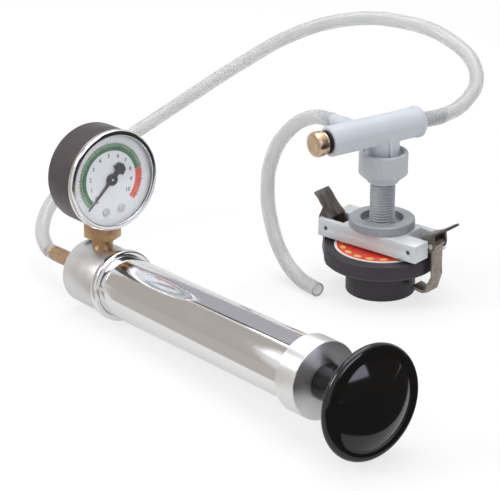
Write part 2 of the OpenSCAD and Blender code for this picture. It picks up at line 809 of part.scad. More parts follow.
module valve_spring() {
    x0 = button_floor() + spring_wire / 2 + fit;
    x1 = -tee_left - spring_wire / 2 - fit;
    color("silver") on_tee() swept(helix(x0, x1, 3.1, 4, 8), spring_wire, 6, [1, 0, 0]);
}

module dust_ring() {
    color([0.15, 0.15, 0.16]) on_tee()
        sleeve(-tee_left - dust_t, -tee_left - fit, button_bore_d + 2.4, 7.6);
}

// ---- Cup, threaded tube and ring nut ----

module neck_cup() {
    r = cup_d / 2;
    foot = thread_d / 2 + 1.6;
    color([0.74, 0.76, 0.8]) difference() {
        rotate_extrude() polygon([[0, cup_z], [foot, cup_z], [foot, cup_z + 0.8], [r, cup_z + cup_cone],
            [r, cup_top - 1.5], [r - 1.2, cup_top], [r - 2.2, cup_top], [r - 3, cup_top - rim_depth()],
            [0, cup_top - rim_depth()]]);
        translate([0, 0, neck_foot()]) cylinder(h = cup_h + tee_rise, d = neck_d + 2 * fit);
        translate([0, 0, cup_z - 1]) cylinder(h = tube_in_cup + 1 + fit, d = thread_d + 2 * fit);
        translate([0, 0, cup_z]) cylinder(h = cup_cone + cup_h, d = tube_bore);
    }
}

module cup_seal_ring() {
    section = 1.4;
    color("black") translate([0, 0, tube_top - section / 2 - 0.8]) rotate_extrude()
        translate([(tube_bore - section) / 2 - fit, 0]) circle(d = section - 2 * fit);
}

// Outline of the thread's ridges, as radius and height
function ridges(z0, z1) = [for (z = [z0:thread_pitch:z1 - thread_pitch + 0.001]) each [
    [thread_d / 2, z], [thread_d / 2, z + 0.3 * thread_pitch],
    [thread_d / 2 - thread_depth, z + 0.6 * thread_pitch], [thread_d / 2 - thread_depth, z + 0.7 * thread_pitch]]];

module threaded_tube() {
    color([0.7, 0.71, 0.75]) difference() {
        rotate_extrude() polygon(concat([[0, tube_foot]], ridges(tube_foot, cup_z), [[thread_d / 2, cup_z],
            [thread_d / 2, tube_top], [0, tube_top]]));
        translate([0, 0, tube_foot - 1]) cylinder(h = tube_top, d = tube_bore);
    }
}

module ring_nut() {
    lead = 0.5;
    recess_d = 23.2;
    recess_h = nut_h - 1.2;
    color([0.58, 0.6, 0.64]) difference() {
        union() {
            rotate_extrude() polygon([[0, nut_z], [nut_d / 2 - lead, nut_z], [nut_d / 2, nut_z + lead],
                [nut_d / 2, nut_top - lead], [nut_d / 2 - lead, nut_top], [0, nut_top]]);
            translate([0, 0, clip_top()]) cylinder(h = nut_z - clip_top() + 1, d = sleeve_d);
            translate([0, 0, sleeve_foot()]) cylinder(h = plate_t - 1, d = sleeve_d - 2);
        }
        translate([0, 0, nut_top - recess_h]) cylinder(h = nut_h, d = recess_d);
        translate([0, 0, sleeve_foot() - 1]) cylinder(h = nut_top, d = thread_d + 2 * run);
    }
}

// The clip lies in the plate's counterbore and holds the nut's sleeve
function clip_top() = plate_z + clip_room - 0.05;
function sleeve_foot() = plate_z + 0.3;

module nut_clip() {
    color("silver") translate([0, 0, clip_top() - clip_t]) difference() {
        cylinder(h = clip_t, d = sleeve_d + 2.4);
        translate([0, 0, -1]) cylinder(h = clip_t + 2, d = sleeve_d - 2 + 2 * fit);
        translate([-sleeve_d, -1.5, -1]) cube([sleeve_d, 3, clip_t + 2]);
    }
}

// ---- Clamp plate, levers and hooks ----

module clamp_plate() {
    color([0.84, 0.85, 0.87]) difference() {
        translate([-plate_len / 2, -plate_w / 2, plate_z]) cube([plate_len, plate_w, plate_t]);
        translate([0, 0, plate_z - 1]) cylinder(h = plate_t + 2, d = sleeve_d + 2 * run);
        translate([0, 0, plate_z - 1]) cylinder(h = clip_room + 1, d = sleeve_d + 3.4);
        for (side = ["left", "right"]) on_side(side) {
            translate([plate_len / 2 - slot_in, lever_y - lever_w / 2 - slot_side, plate_z - 1])
                cube([slot_in + 1, lever_w + 2 * slot_side, plate_t + 2]);
            translate([pivot_x, plate_w / 2 + 1, pivot_z]) rotate([90, 0, 0])
                cylinder(h = plate_w + 2, d = pin_d + 2 * fit);
        }
    }
}

module lever_pins() {
    sunk = 0.8;
    color("dimgray") for (side = ["left", "right"]) on_side(side)
        translate([pivot_x, plate_w / 2 - sunk, pivot_z]) rotate([90, 0, 0])
            cylinder(h = plate_w - 2 * sunk, d = pin_d);
}

// Outline of the lever's blade from over its pivot to its thumb tip, as X and Z from the pivot
blade = [[0.4, 5.6], [3, 6.7], [6, 8], [9, 9.8], [12.4, 12.2], [15.4, 13.6]];

// A lever round its pivot, lifted by an angle
module lever(lift) {
    half = lever_w / 2;
    n = len(blade) - 1;
    under = [for (i = [n:-1:0]) let (t = heading(blade, i)) blade[i] + lever_t * [t[1], -t[0]]];
    rotate([0, -lift, 0]) difference() {
        union() {
            translate([0, half, 0]) rotate([90, 0, 0]) linear_extrude(lever_w) polygon(concat(blade, under));
            for (y = [-half, half - lever_t]) translate([0, y + lever_t, 0]) rotate([90, 0, 0])
                linear_extrude(lever_t) polygon([[-3, -2], [-1, -3.2], [5, -2.6], [8, -0.8],
                    [8.6, 2], [7.8, 8.6], [6, 7.4], [3, 6.1], [0.6, 5.1], [-2.8, 2.4], [-3.4, 0]]);
        }
        translate([0, half + 1, 0]) rotate([90, 0, 0]) cylinder(h = lever_w + 2, d = pin_d + 2 * run);
        translate([hook_pin[0], half + 1, hook_pin[1]]) rotate([90, 0, 0])
            cylinder(h = lever_w + 2, d = hook_pin_d + 2 * fit);
    }
}

function lift_of(side) = side == "left" ? left_raise : 0;

// Sets its children at a side's lever pivot
module at_pivot(side) {
    on_side(side) translate([pivot_x, lever_y, pivot_z]) children();
}

module left_lever() {
    color([0.3, 0.27, 0.26]) at_pivot("left") lever(lift_of("left"));
}

module right_lever() {
    color([0.3, 0.27, 0.26]) at_pivot("right") lever(lift_of("right"));
}

module hook_rivet(side) {
    head_t = 0.35;
    at_pivot(side) rotate([0, -lift_of(side), 0]) translate([hook_pin[0], 0, hook_pin[1]]) rotate([90, 0, 0]) {
        cylinder(h = lever_w + 0.1, d = hook_pin_d, center = true);
        for (end = [-1, 1]) translate([0, 0, end * (lever_w + head_t + 0.1) / 2])
            cylinder(h = head_t, d = hook_pin_d + 1, center = true);
    }
}

module left_hook_pin() {
    color("silver") hook_rivet("left");
}

module right_hook_pin() {
    color("silver") hook_rivet("right");
}

// A hook that hangs upright from its pin, its tip turned in towards the neck
module hook(side) {
    t = hook_t;
    eye = hook_pin_d / 2 + 1.1;
    len = hook_len;
    outer = [[t / 2, 0], [t / 2, 3 - len * 0.55], [0.4 + t / 2, -len * 0.62], [-3.2 + t, -len + 1.6], [-5.4, -len],
        [-8, -len + 0.1], [-12.6, -len + 1.2]];
    inner = [[-12.4, -len + 1.2 + t], [-7.8, -len + t + 0.2], [-6, -len + t + 0.2], [-4.2, -len + 2.4],
        [0.4 - t / 2, -len * 0.62], [-t / 2, 3 - len * 0.55], [-t / 2, 0]];
    at_pivot(side) rotate([0, -lift_of(side), 0]) translate([hook_pin[0], 0, hook_pin[1]]) rotate([0, lift_of(side), 0])
        difference() {
            union() {
                rotate([90, 0, 0]) cylinder(h = hook_w, r = eye, center = true);
                rotate([90, 0, 0]) linear_extrude(hook_w, center = true) polygon(concat(outer, inner));
            }
            rotate([90, 0, 0]) cylinder(h = hook_w + 2, d = hook_pin_d + 2 * run, center = true);
        }
}

module left_hook() {
    color([0.42, 0.38, 0.35]) hook("left");
}

module right_hook() {
    color([0.42, 0.38, 0.35]) hook("right");
}

// ---- Neck seal ----

module neck_seal() {
    r = flange_d / 2;
    plug_r = plug_d / 2;
    under = seal_h - flange_edge;
    color([0.08, 0.08, 0.08]) difference() {
        rotate_extrude() polygon([[0, 0], [plug_r, 0], [plug_r, under - 1.5], [plug_r + 1.5, under],
            [r - 1.2, under], [r, under + 1.2], [r, seal_h - 0.8], [r - 0.8, seal_h], [0, seal_h]]);
        translate([0, 0, -1]) cylinder(h = washer_z() + washer_t() + 1, d = recess_d());
        translate([0, 0, -1]) cylinder(h = seal_h + 2, d = thread_d + 2 * fit);
    }
}

function recess_d() = 26;
function washer_z() = 7.5;
function washer_t() = 1.5;

module seal_label() {
    color("firebrick") translate([0, 0, seal_h]) difference() {
        cylinder(h = label_t, d = label_d);
        translate([0, 0, -1]) cylinder(h = label_t + 2, d = thread_d + 3);
    }
}

module seal_washer() {
    color("silver") translate([0, 0, washer_z()]) difference() {
        cylinder(h = washer_t() - fit, d = recess_d() - 1.5);
        translate([0, 0, -1]) cylinder(h = washer_t() + 2, d = thread_d + 2 * fit);
    }
}

module seal_nut() {
    nut_t = washer_z() - tube_foot - 0.5;
    color("silver") translate([0, 0, tube_foot + 0.5]) difference() {
        cylinder(h = nut_t - fit, d = thread_d + 8, $fn = 6);
        translate([0, 0, -1]) cylinder(h = nut_t + 2, d = thread_d + 2 * fit);
    }
}

pump_tube();
pump_head();
head_ring();
head_gasket();
check_seat();
check_ball();
check_spring();
hose_nipple();
rod_end_cap();
rod_bush();
piston_rod();
piston();
piston_cup();
piston_nut();
pump_knob();
gauge_socket();
gauge_case();
gauge_bezel();
gauge_lens();
gauge_dial();
dial_screws();
dial_stop_pin();
bourdon_tube();
movement_frame();
sector_gear();
bourdon_link();
hairspring();
needle_shaft();
gauge_needle();
pump_hose();
drain_hose();
tee_body();
tee_inlet_barb();
tee_drain_barb();
valve_bush();
valve_button();
valve_stem();
valve_seal_ring();
valve_spring();
dust_ring();
neck_cup();
cup_seal_ring();
threaded_tube();
ring_nut();
nut_clip();
clamp_plate();
lever_pins();
left_lever();
right_lever();
left_hook();
right_hook();
left_hook_pin();
right_hook_pin();
neck_seal();
seal_label();
seal_washer();
seal_nut();
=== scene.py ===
import json
import math

import bpy
from mathutils import Euler, Matrix, Vector

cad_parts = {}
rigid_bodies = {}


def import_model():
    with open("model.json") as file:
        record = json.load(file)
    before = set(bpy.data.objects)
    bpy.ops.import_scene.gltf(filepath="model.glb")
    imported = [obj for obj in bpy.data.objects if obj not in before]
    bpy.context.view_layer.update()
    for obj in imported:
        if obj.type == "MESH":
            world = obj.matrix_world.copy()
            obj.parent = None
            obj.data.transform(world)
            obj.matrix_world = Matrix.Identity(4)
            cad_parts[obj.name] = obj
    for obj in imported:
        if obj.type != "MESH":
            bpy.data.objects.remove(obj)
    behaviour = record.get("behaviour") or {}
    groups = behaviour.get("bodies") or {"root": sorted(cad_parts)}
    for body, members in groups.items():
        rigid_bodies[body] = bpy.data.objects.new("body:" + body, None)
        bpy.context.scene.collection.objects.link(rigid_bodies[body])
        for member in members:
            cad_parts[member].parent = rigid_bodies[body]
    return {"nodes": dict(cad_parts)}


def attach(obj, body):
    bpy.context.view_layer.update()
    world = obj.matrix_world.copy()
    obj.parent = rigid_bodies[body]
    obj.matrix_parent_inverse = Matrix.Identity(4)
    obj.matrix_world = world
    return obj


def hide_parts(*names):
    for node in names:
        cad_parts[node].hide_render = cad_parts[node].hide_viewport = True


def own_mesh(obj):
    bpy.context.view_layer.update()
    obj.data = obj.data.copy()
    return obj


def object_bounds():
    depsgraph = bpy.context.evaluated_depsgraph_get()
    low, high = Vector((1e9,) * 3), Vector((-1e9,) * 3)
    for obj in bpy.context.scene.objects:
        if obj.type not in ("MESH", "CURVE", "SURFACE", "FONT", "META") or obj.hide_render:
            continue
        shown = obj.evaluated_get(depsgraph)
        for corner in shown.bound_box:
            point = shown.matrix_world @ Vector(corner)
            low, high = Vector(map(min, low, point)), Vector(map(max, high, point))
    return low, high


for start_object in list(bpy.data.objects):
    bpy.data.objects.remove(start_object)
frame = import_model()
cad_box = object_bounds()
mm = 0.001

# ---- Camera ----
# It stands at the photograph's viewing angle: to the right of the knob, turned
# 40 degrees from the front and looking 22 degrees down, with a long lens.
bpy.ops.object.camera_add(location=(0.612, -0.840, 0.4515),
                          rotation=(math.radians(90 - 22.35), 0, math.radians(40)))
camera = bpy.context.object
camera.name = "photo_camera"
camera.data.lens = 148.9
camera.data.sensor_width = 36
camera.data.clip_start = 0.01
bpy.context.scene.camera = camera


# ---- Hoses ----
# Two lengths of clear PVC hose, 8 mm outside and 5.5 mm inside, milky from wear. The
# long one joins the pump's brass nipple to the tee and is stretched over the barbs of
# both; the short one drains the tee and ends open behind the clamp.
def deselect():
    """Leaves nothing selected, so that an operator acts on one piece alone."""
    if bpy.context.object and bpy.context.object.mode != 'OBJECT':
        bpy.ops.object.mode_set(mode='OBJECT')
    bpy.ops.object.select_all(action='DESELECT')


def new_material(name, color, metallic=0.0, roughness=0.5, **sockets):
    """A material with its shader's plain values set; its patterns are added after."""
    material = bpy.data.materials.new(name)
    material.use_nodes = True
    shader = material.node_tree.nodes["Principled BSDF"]
    shader.inputs["Base Color"].default_value = (*color, 1)
    shader.inputs["Metallic"].default_value = metallic
    shader.inputs["Roughness"].default_value = roughness
    for label, value in sockets.items():
        shader.inputs[label.replace("_", " ")].default_value = value
    return material


def new_group(name, inputs, outputs):
    """An empty shader node group with named sockets."""
    tree = bpy.data.node_groups.new(name, "ShaderNodeTree")
    for label, kind, value in inputs:
        tree.interface.new_socket(name=label, in_out='INPUT', socket_type=kind).default_value = value
    for label, kind in outputs:
        tree.interface.new_socket(name=label, in_out='OUTPUT', socket_type=kind)
    return tree, tree.nodes.new("NodeGroupInput"), tree.nodes.new("NodeGroupOutput")


def link(tree, *pairs):
    """Joins output sockets to input sockets."""
    for source, target in pairs:
        tree.links.new(source, target)


def math_node(tree, operation, a, b=None):
    """A math node of two values or sockets; returns its output."""
    node = tree.nodes.new("ShaderNodeMath")
    node.operation = operation
    for socket, value in zip(node.inputs, (a, b)):
        if isinstance(value, (int, float)):
            socket.default_value = value
        elif value is not None:
            tree.links.new(value, socket)
    return node.outputs[0]


def handling_group():
    """Soft patches of handling and dust: a value that drifts between From and To."""
    tree, given, out = new_group("handling_patches", [
        ("Scale", "NodeSocketFloat", 60.0), ("From", "NodeSocketFloat", 0.3),
        ("To", "NodeSocketFloat", 0.5), ("Stretch", "NodeSocketVector", (1, 1, 1))],
        [("Value", "NodeSocketFloat")])
    place = tree.nodes.new("ShaderNodeTexCoord")
    turn = tree.nodes.new("ShaderNodeMapping")
    noise = tree.nodes.new("ShaderNodeTexNoise")
    noise.inputs["Detail"].default_value = 5
    noise.inputs["Roughness"].default_value = 0.6
    spread = tree.nodes.new("ShaderNodeMapRange")
    spread.inputs["From Min"].default_value = 0.34
    spread.inputs["From Max"].default_value = 0.66
    link(tree, (place.outputs["Object"], turn.inputs["Vector"]), (given.outputs["Stretch"], turn.inputs["Scale"]),
         (turn.outputs[0], noise.inputs["Vector"]), (given.outputs["Scale"], noise.inputs["Scale"]),
         (noise.outputs["Fac"], spread.inputs["Value"]), (given.outputs["From"], spread.inputs["To Min"]),
         (given.outputs["To"], spread.inputs["To Max"]), (spread.outputs[0], out.inputs["Value"]))
    return tree


def grain_group():
    """Fine grain of a cast, painted or moulded skin, as a height."""
    tree, given, out = new_group("fine_grain", [
        ("Scale", "NodeSocketFloat", 900.0), ("Stretch", "NodeSocketVector", (1, 1, 1))],
        [("Height", "NodeSocketFloat")])
    place = tree.nodes.new("ShaderNodeTexCoord")
    turn = tree.nodes.new("ShaderNodeMapping")
    noise = tree.nodes.new("ShaderNodeTexNoise")
    noise.inputs["Detail"].default_value = 3
    link(tree, (place.outputs["Object"], turn.inputs["Vector"]), (given.outputs["Stretch"], turn.inputs["Scale"]),
         (turn.outputs[0], noise.inputs["Vector"]), (given.outputs["Scale"], noise.inputs["Scale"]),
         (noise.outputs["Fac"], out.inputs["Height"]))
    return tree


HANDLING = handling_group()
GRAIN = grain_group()


def add_handling(material, socket, scale, low, high, stretch=(1, 1, 1)):
    """Lets a shader value drift over the surface."""
    tree = material.node_tree
    node = tree.nodes.new("ShaderNodeGroup")
    node.node_tree = HANDLING
    for label, value in (("Scale", scale), ("From", low), ("To", high), ("Stretch", stretch)):
        node.inputs[label].default_value = value
    tree.links.new(node.outputs["Value"], tree.nodes["Principled BSDF"].inputs[socket])


def add_tint(material, scale, first, second, stretch=(1, 1, 1)):
    """Lets the base colour drift between two colours."""
    tree = material.node_tree
    node = tree.nodes.new("ShaderNodeGroup")
    node.node_tree = HANDLING
    for label, value in (("Scale", scale), ("From", 0), ("To", 1), ("Stretch", stretch)):
        node.inputs[label].default_value = value
    mix = tree.nodes.new("ShaderNodeMix")
    mix.data_type = 'RGBA'
    mix.inputs["A"].default_value = (*first, 1)
    mix.inputs["B"].default_value = (*second, 1)
    link(tree, (node.outputs["Value"], mix.inputs["Factor"]),
         (mix.outputs["Result"], tree.nodes["Principled BSDF"].inputs["Base Color"]))


def add_bump(material, height, strength, distance=0.0001):
    """Feeds a height into the shader's normal."""
    tree = material.node_tree
    bump = tree.nodes.new("ShaderNodeBump")
    bump.inputs["Strength"].default_value = strength
    bump.inputs["Distance"].default_value = distance
    link(tree, (height, bump.inputs["Height"]), (bump.outputs[0], tree.nodes["Principled BSDF"].inputs["Normal"]))


def add_grain(material, scale, strength, stretch=(1, 1, 1)):
    """Adds the fine grain to a material."""
    node = material.node_tree.nodes.new("ShaderNodeGroup")
    node.node_tree = GRAIN
    node.inputs["Scale"].default_value = scale
    node.inputs["Stretch"].default_value = stretch
    add_bump(material, node.outputs["Height"], strength)


def wear(piece, material):
    """Gives a piece its material."""
    piece.data.materials.clear()
    piece.data.materials.append(material)


def finish(piece, material, body, slot, *nodes):
    """Settles a new piece: its material, its body and the nodes it stands for. Its slot is not used."""
    wear(piece, material)
    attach(piece, body)
    if nodes:
        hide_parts(*nodes)


hose_material = new_material("clear_hose_pvc", (0.84, 0.85, 0.845), roughness=0.2, IOR=1.4,
                             Transmission_Weight=0.75)
add_tint(hose_material, 30, (0.82, 0.83, 0.825), (0.88, 0.885, 0.88))

HOSE_R = 4 * mm
HOSE_WALL = 1.25 * mm
BARB_EASE = 2 * mm
BARB_REACH = 6 * mm
BARB_SNUG = 0.03
BARB_SWELL = 0.06


def hose_along(name, route, swells):
    """A hose through the points of its route, in mm, swollen where barbs stretch it."""
    deselect()
    bpy.ops.curve.primitive_bezier_curve_add()
    piece = bpy.context.object
    piece.name = name
    curve = piece.data
    spline = curve.splines[0]
    spline.bezier_points.add(len(route) - 2)
    for knot, place in zip(spline.bezier_points, route):
        knot.co = Vector(place) * mm
        knot.handle_left_type = knot.handle_right_type = 'AUTO'
    curve.dimensions = '3D'
    curve.resolution_u = 16
    curve.bevel_depth = HOSE_R
    curve.bevel_resolution = 6
    bpy.ops.object.convert(target='MESH')
    bpy.ops.object.mode_set(mode='EDIT')
    bpy.ops.mesh.select_all(action='SELECT')
    bpy.ops.mesh.remove_doubles(threshold=0.00002)
    bpy.ops.mesh.normals_make_consistent(inside=False)
    bpy.ops.object.mode_set(mode='OBJECT')
    for start, direction, ribs, pitch in swells:
        direction = Vector(direction).normalized()
        for point in piece.data.vertices:
            along = (point.co - Vector(start) * mm).dot(direction)
            foot = Vector(start) * mm + along * direction
            off = point.co - foot
            reach = ribs * pitch * mm
            if -1 * mm < along < reach + BARB_EASE and off.length < BARB_REACH:
                ripple = 0.5 - 0.5 * math.cos(math.tau * along / (pitch * mm))
                fade = min(1, max(0, (reach + BARB_EASE - along) / BARB_EASE))
                point.co = foot + off * (1 + fade * (BARB_SNUG + BARB_SWELL * ripple))
    wall = piece.modifiers.new("wall", 'SOLIDIFY')
    wall.thickness = HOSE_WALL
    wall.offset = -1
    bpy.ops.object.modifier_apply(modifier="wall")
    bpy.ops.object.shade_smooth_by_angle(angle=math.radians(40))
    return piece


PUMP_ROUTE = [
    (-143, -106, 16), (-152, -103.5, 16.5), (-169.5, -89, 22.5), (-181, -60, 32.5),
    (-180, -29, 44), (-169, -1, 58), (-154, 23.5, 74), (-137, 46.5, 90.5),
    (-117, 67.5, 106), (-91, 85.5, 116), (-60, 97, 118), (-28, 99, 113),
    (0, 85, 103.5), (12.5, 56, 95), (11, 39, 92), (7, 24, 92)]
DRAIN_ROUTE = [
    (-24, -13, 95), (-41.5, -10.5, 92), (-56, -12.5, 81), (-64, -15.5, 65),
    (-65.5, -17.5, 46.5), (-61.5, -19, 29), (-52, -21.5, 13.5), (-36.5, -26, 5),
    (-19, -31, 4)]


def route_length(route):
    """Length of a route through its points, in metres."""
    return sum((Vector(b) - Vector(a)).length for a, b in zip(route, route[1:])) * mm


TEE_YAW = math.radians(74)
TEE_ALONG = (math.cos(TEE_YAW), math.sin(TEE_YAW), 0)
long_hose = hose_along("long_hose", PUMP_ROUTE, [((6.6, 23.1, 92.05), TEE_ALONG, 6, 2.5)])
finish(long_hose, hose_material, "tester", "clear_hose", "pump_hose")
[c * mm for c in PUMP_ROUTE[0]]
route_length(PUMP_ROUTE)
[[c * mm for c in p] for p in PUMP_ROUTE]
short_hose = hose_along("short_hose", DRAIN_ROUTE, [])
finish(short_hose, hose_material, "tester", "clear_hose", "drain_hose")
[c * mm for c in DRAIN_ROUTE[0]]
route_length(DRAIN_ROUTE)
[[c * mm for c in p] for p in DRAIN_ROUTE]


# ---- Pump barrel ----
# A drawn and chromed tube, pushed over the spigots of a turned satin head and a turned
# rod end cap, with a gasket and a polished ring at the head. A nipple screws in behind.
PUMP_PLACE = Matrix.Translation(Vector((-98, -115.5, 18.283)) * mm)
PUMP_TURN = Euler([math.radians(a) for a in (-3, -2.7035, -12)])
ON_PUMP = PUMP_PLACE @ PUMP_TURN.to_matrix().to_4x4()
ALONG_X = Matrix.Rotation(math.radians(90), 4, 'Y')


def fillet(points, segments=4):
    """Rounds an outline's corners: each point is radius, height and corner radius in mm."""
    rounded = []
    for i, (r, z, size) in enumerate(points):
        here = Vector((r, z))
        if size == 0 or i in (0, len(points) - 1):
            rounded.append((r, z))
            continue
        back = Vector(points[i - 1][:2]) - here
        on = Vector(points[i + 1][:2]) - here
        bend = back.angle(on)
        cut = min(size / math.tan(bend / 2), 0.48 * back.length, 0.48 * on.length)
        radius = cut * math.tan(bend / 2)
        middle = here + (back.normalized() + on.normalized()).normalized() * (radius / math.sin(bend / 2))
        first = here + back.normalized() * cut - middle
        last = here + on.normalized() * cut - middle
        sweep = first.angle_signed(last)
        for step in range(segments + 1):
            turned_by = Matrix.Rotation(-sweep * step / segments, 2)
            spot = middle + turned_by @ first
            rounded.append((spot.x, spot.y))
    return rounded


def turned(name, outline, place=Matrix.Identity(4), steps=96, angle=30):
    """A piece turned about its axis from an outline of radius and height in mm."""
    deselect()
    bpy.ops.mesh.primitive_plane_add(size=mm)
    piece = bpy.context.object
    piece.name = name
    bpy.ops.object.mode_set(mode='EDIT')
    bpy.ops.mesh.select_all(action='SELECT')
    bpy.ops.mesh.merge(type='CENTER')
    bpy.ops.transform.translate(value=(outline[0][0] * mm, 0, outline[0][1] * mm))
    for (r0, z0), (r1, z1) in zip(outline, outline[1:]):
        bpy.ops.mesh.extrude_vertices_move(
            TRANSFORM_OT_translate={"value": ((r1 - r0) * mm, 0, (z1 - z0) * mm)})
    bpy.ops.mesh.select_all(action='SELECT')
    bpy.ops.mesh.spin(steps=steps, angle=math.tau, center=(0, 0, 0), axis=(0, 0, 1))
    bpy.ops.mesh.select_all(action='SELECT')
    bpy.ops.mesh.remove_doubles(threshold=0.000002)
    bpy.ops.mesh.normals_make_consistent(inside=False)
    bpy.ops.object.mode_set(mode='OBJECT')
    set_in_place(piece, place, angle)
    return piece


def set_in_place(piece, place, angle=30):
    """Moves a new piece to its place in its own mesh, and shades it smooth."""
    deselect()
    piece.select_set(True)
    bpy.context.view_layer.objects.active = piece
    piece.matrix_world = place
    bpy.ops.object.transform_apply(location=True, rotation=True, scale=True)
    bpy.ops.object.shade_smooth_by_angle(angle=math.radians(angle))


def ring_outline(inner, outer, low, high, round_out, round_in=0.2):
    """Closed outline of a plain ring with rounded corners."""
    middle = (inner + outer) / 2
    return fillet([(middle, low, 0), (outer, low, round_out), (outer, high, round_out), (inner, high, round_in),
                   (inner, low, round_in), (middle, low, 0)])


def turning_group():
    """Lathe marks round an axis: fine rings on faces and fine lines round the sides."""
    tree, given, out = new_group("lathe_marks", [
        ("Centre", "NodeSocketVector", (0, 0, 0)), ("Turn", "NodeSocketVector", (0, 0, 0)),
        ("Pitch", "NodeSocketFloat", 3000.0)], [("Height", "NodeSocketFloat")])
    place = tree.nodes.new("ShaderNodeTexCoord")
    axis = tree.nodes.new("ShaderNodeMapping")
    axis.vector_type = 'TEXTURE'
    apart = tree.nodes.new("ShaderNodeSeparateXYZ")
    link(tree, (place.outputs["Object"], axis.inputs["Vector"]), (given.outputs["Centre"], axis.inputs["Location"]),
         (given.outputs["Turn"], axis.inputs["Rotation"]), (axis.outputs[0], apart.inputs[0]))
    across = math_node(tree, 'SQRT', math_node(tree, 'ADD', math_node(tree, 'POWER', apart.outputs["Y"], 2),
                                               math_node(tree, 'POWER', apart.outputs["Z"], 2)))
    total = None
    for distance in (across, apart.outputs["X"]):
        noise = tree.nodes.new("ShaderNodeTexNoise")
        noise.noise_dimensions = '1D'
        noise.inputs["Scale"].default_value = 1
        noise.inputs["Detail"].default_value = 2
        link(tree, (math_node(tree, 'MULTIPLY', distance, given.outputs["Pitch"]), noise.inputs["W"]))
        total = noise.outputs["Fac"] if total is None else math_node(tree, 'ADD', total, noise.outputs["Fac"])
    link(tree, (total, out.inputs["Height"]))
    return tree


TURNING = turning_group()


def add_turning(material, centre, turn, pitch, strength):
    """Adds lathe marks round an axis to a material."""
    node = material.node_tree.nodes.new("ShaderNodeGroup")
    node.node_tree = TURNING
    node.inputs["Centre"].default_value = centre
    node.inputs["Turn"].default_value = turn
    node.inputs["Pitch"].default_value = pitch
    add_bump(material, node.outputs["Height"], strength, 0.00002)


PUMP_CENTRE = PUMP_PLACE.translation
chrome = new_material("chrome_plate", (0.86, 0.86, 0.86), 1, 0.09)
add_handling(chrome, "Roughness", 45, 0.07, 0.13)
add_turning(chrome, PUMP_CENTRE, PUMP_TURN, 900, 0.04)
satin = new_material("satin_nickel_head", (0.72, 0.72, 0.725), 1, 0.34)
add_handling(satin, "Roughness", 60, 0.28, 0.42)
add_turning(satin, PUMP_CENTRE, PUMP_TURN, 2600, 0.35)
cap_finish = new_material("turned_cap", (0.9, 0.9, 0.895), 1, 0.4, Anisotropic=0.9, Anisotropic_Rotation=0.25)
add_handling(cap_finish, "Roughness", 50, 0.36, 0.44)
add_turning(cap_finish, PUMP_CENTRE, PUMP_TURN, 1500, 0.2)


def add_tool_marks(material, centre, axis):
    """Draws a metal's shine out across the fine grooves that a lathe tool leaves round an axis."""
    tree = material.node_tree
    place = tree.nodes.new("ShaderNodeTexCoord")
    from_centre = tree.nodes.new("ShaderNodeVectorMath")
    from_centre.operation = 'SUBTRACT'
    from_centre.inputs[1].default_value = centre
    groove = tree.nodes.new("ShaderNodeVectorMath")
    groove.operation = 'CROSS_PRODUCT'
    groove.inputs[0].default_value = axis
    link(tree, (place.outputs["Object"], from_centre.inputs[0]), (from_centre.outputs[0], groove.inputs[1]),
         (groove.outputs[0], tree.nodes["Principled BSDF"].inputs["Tangent"]))


add_tool_marks(cap_finish, PUMP_CENTRE, PUMP_TURN.to_matrix() @ Vector((1, 0, 0)))
rubber = new_material("black_rubber_seal", (0.02, 0.017, 0.02), 0, 0.5)
add_handling(rubber, "Roughness", 70, 0.38, 0.6)
add_tint(rubber, 35, (0.016, 0.013, 0.016), (0.034, 0.029, 0.034))
add_grain(rubber, 1400, 0.18)
PUMP_X = ON_PUMP @ ALONG_X

barrel = turned("barrel_tube", ring_outline(15.02, 16.5, 17.5, 179.5, 0.3), PUMP_X, 128)
finish(barrel, chrome, "tester", "chromed_steel", "pump_tube")
head = turned("barrel_head", fillet([
    (5.2, -12.5, 0), (17.75, -12.5, 0.9), (17.75, 16.5, 0.25), (14.98, 16.5, 0), (14.98, 27.5, 0.4),
    (4.6, 27.5, 0), (4.6, 11.6, 0), (2.2, 11.6, 0), (2.2, -4.1, 0), (5.2, -4.1, 0), (5.2, -12.5, 0)]), PUMP_X, 128)


def spot_faced(piece, width, floor):
    """Cuts a round flat into the head's top, where the gauge socket screws in."""
    deselect()
    bpy.ops.mesh.primitive_cylinder_add(vertices=96, radius=width / 2 * mm, depth=20 * mm,
                                        location=(0, 0, (floor + 10) * mm))
    cutter = bpy.context.object
    set_in_place(cutter, ON_PUMP @ Matrix.Translation((0, 0, (floor + 10) * mm)))
    cut = piece.modifiers.new("spot_face", 'BOOLEAN')
    cut.object = cutter
    cut.solver = 'EXACT'
    bpy.context.view_layer.objects.active = piece
    bpy.ops.object.modifier_apply(modifier="spot_face")
    bpy.data.objects.remove(cutter)
    deselect()
    piece.select_set(True)
    bpy.context.view_layer.objects.active = piece
    bpy.ops.object.shade_smooth_by_angle(angle=math.radians(30))


spot_faced(head, 21, 16.35)
finish(head, satin, "tester", "satin_aluminium", "pump_head")
mouth_ring = turned("mouth_ring", ring_outline(16.53, 19.25, 16.56, 20.55, 1.0), PUMP_X, 128)
finish(mouth_ring, chrome, "tester", "chromed_steel", "head_ring")
end_cap = turned("rod_cap", fillet([
    (16.55, 170.5, 0), (19.5, 170.5, 0.8), (19.5, 184, 0.7), (6.6, 184, 0.4), (6.6, 179.6, 0),
    (16.55, 179.6, 0), (16.55, 170.5, 0)]), PUMP_X, 128)
finish(end_cap, cap_finish, "tester", "satin_aluminium", "rod_end_cap")

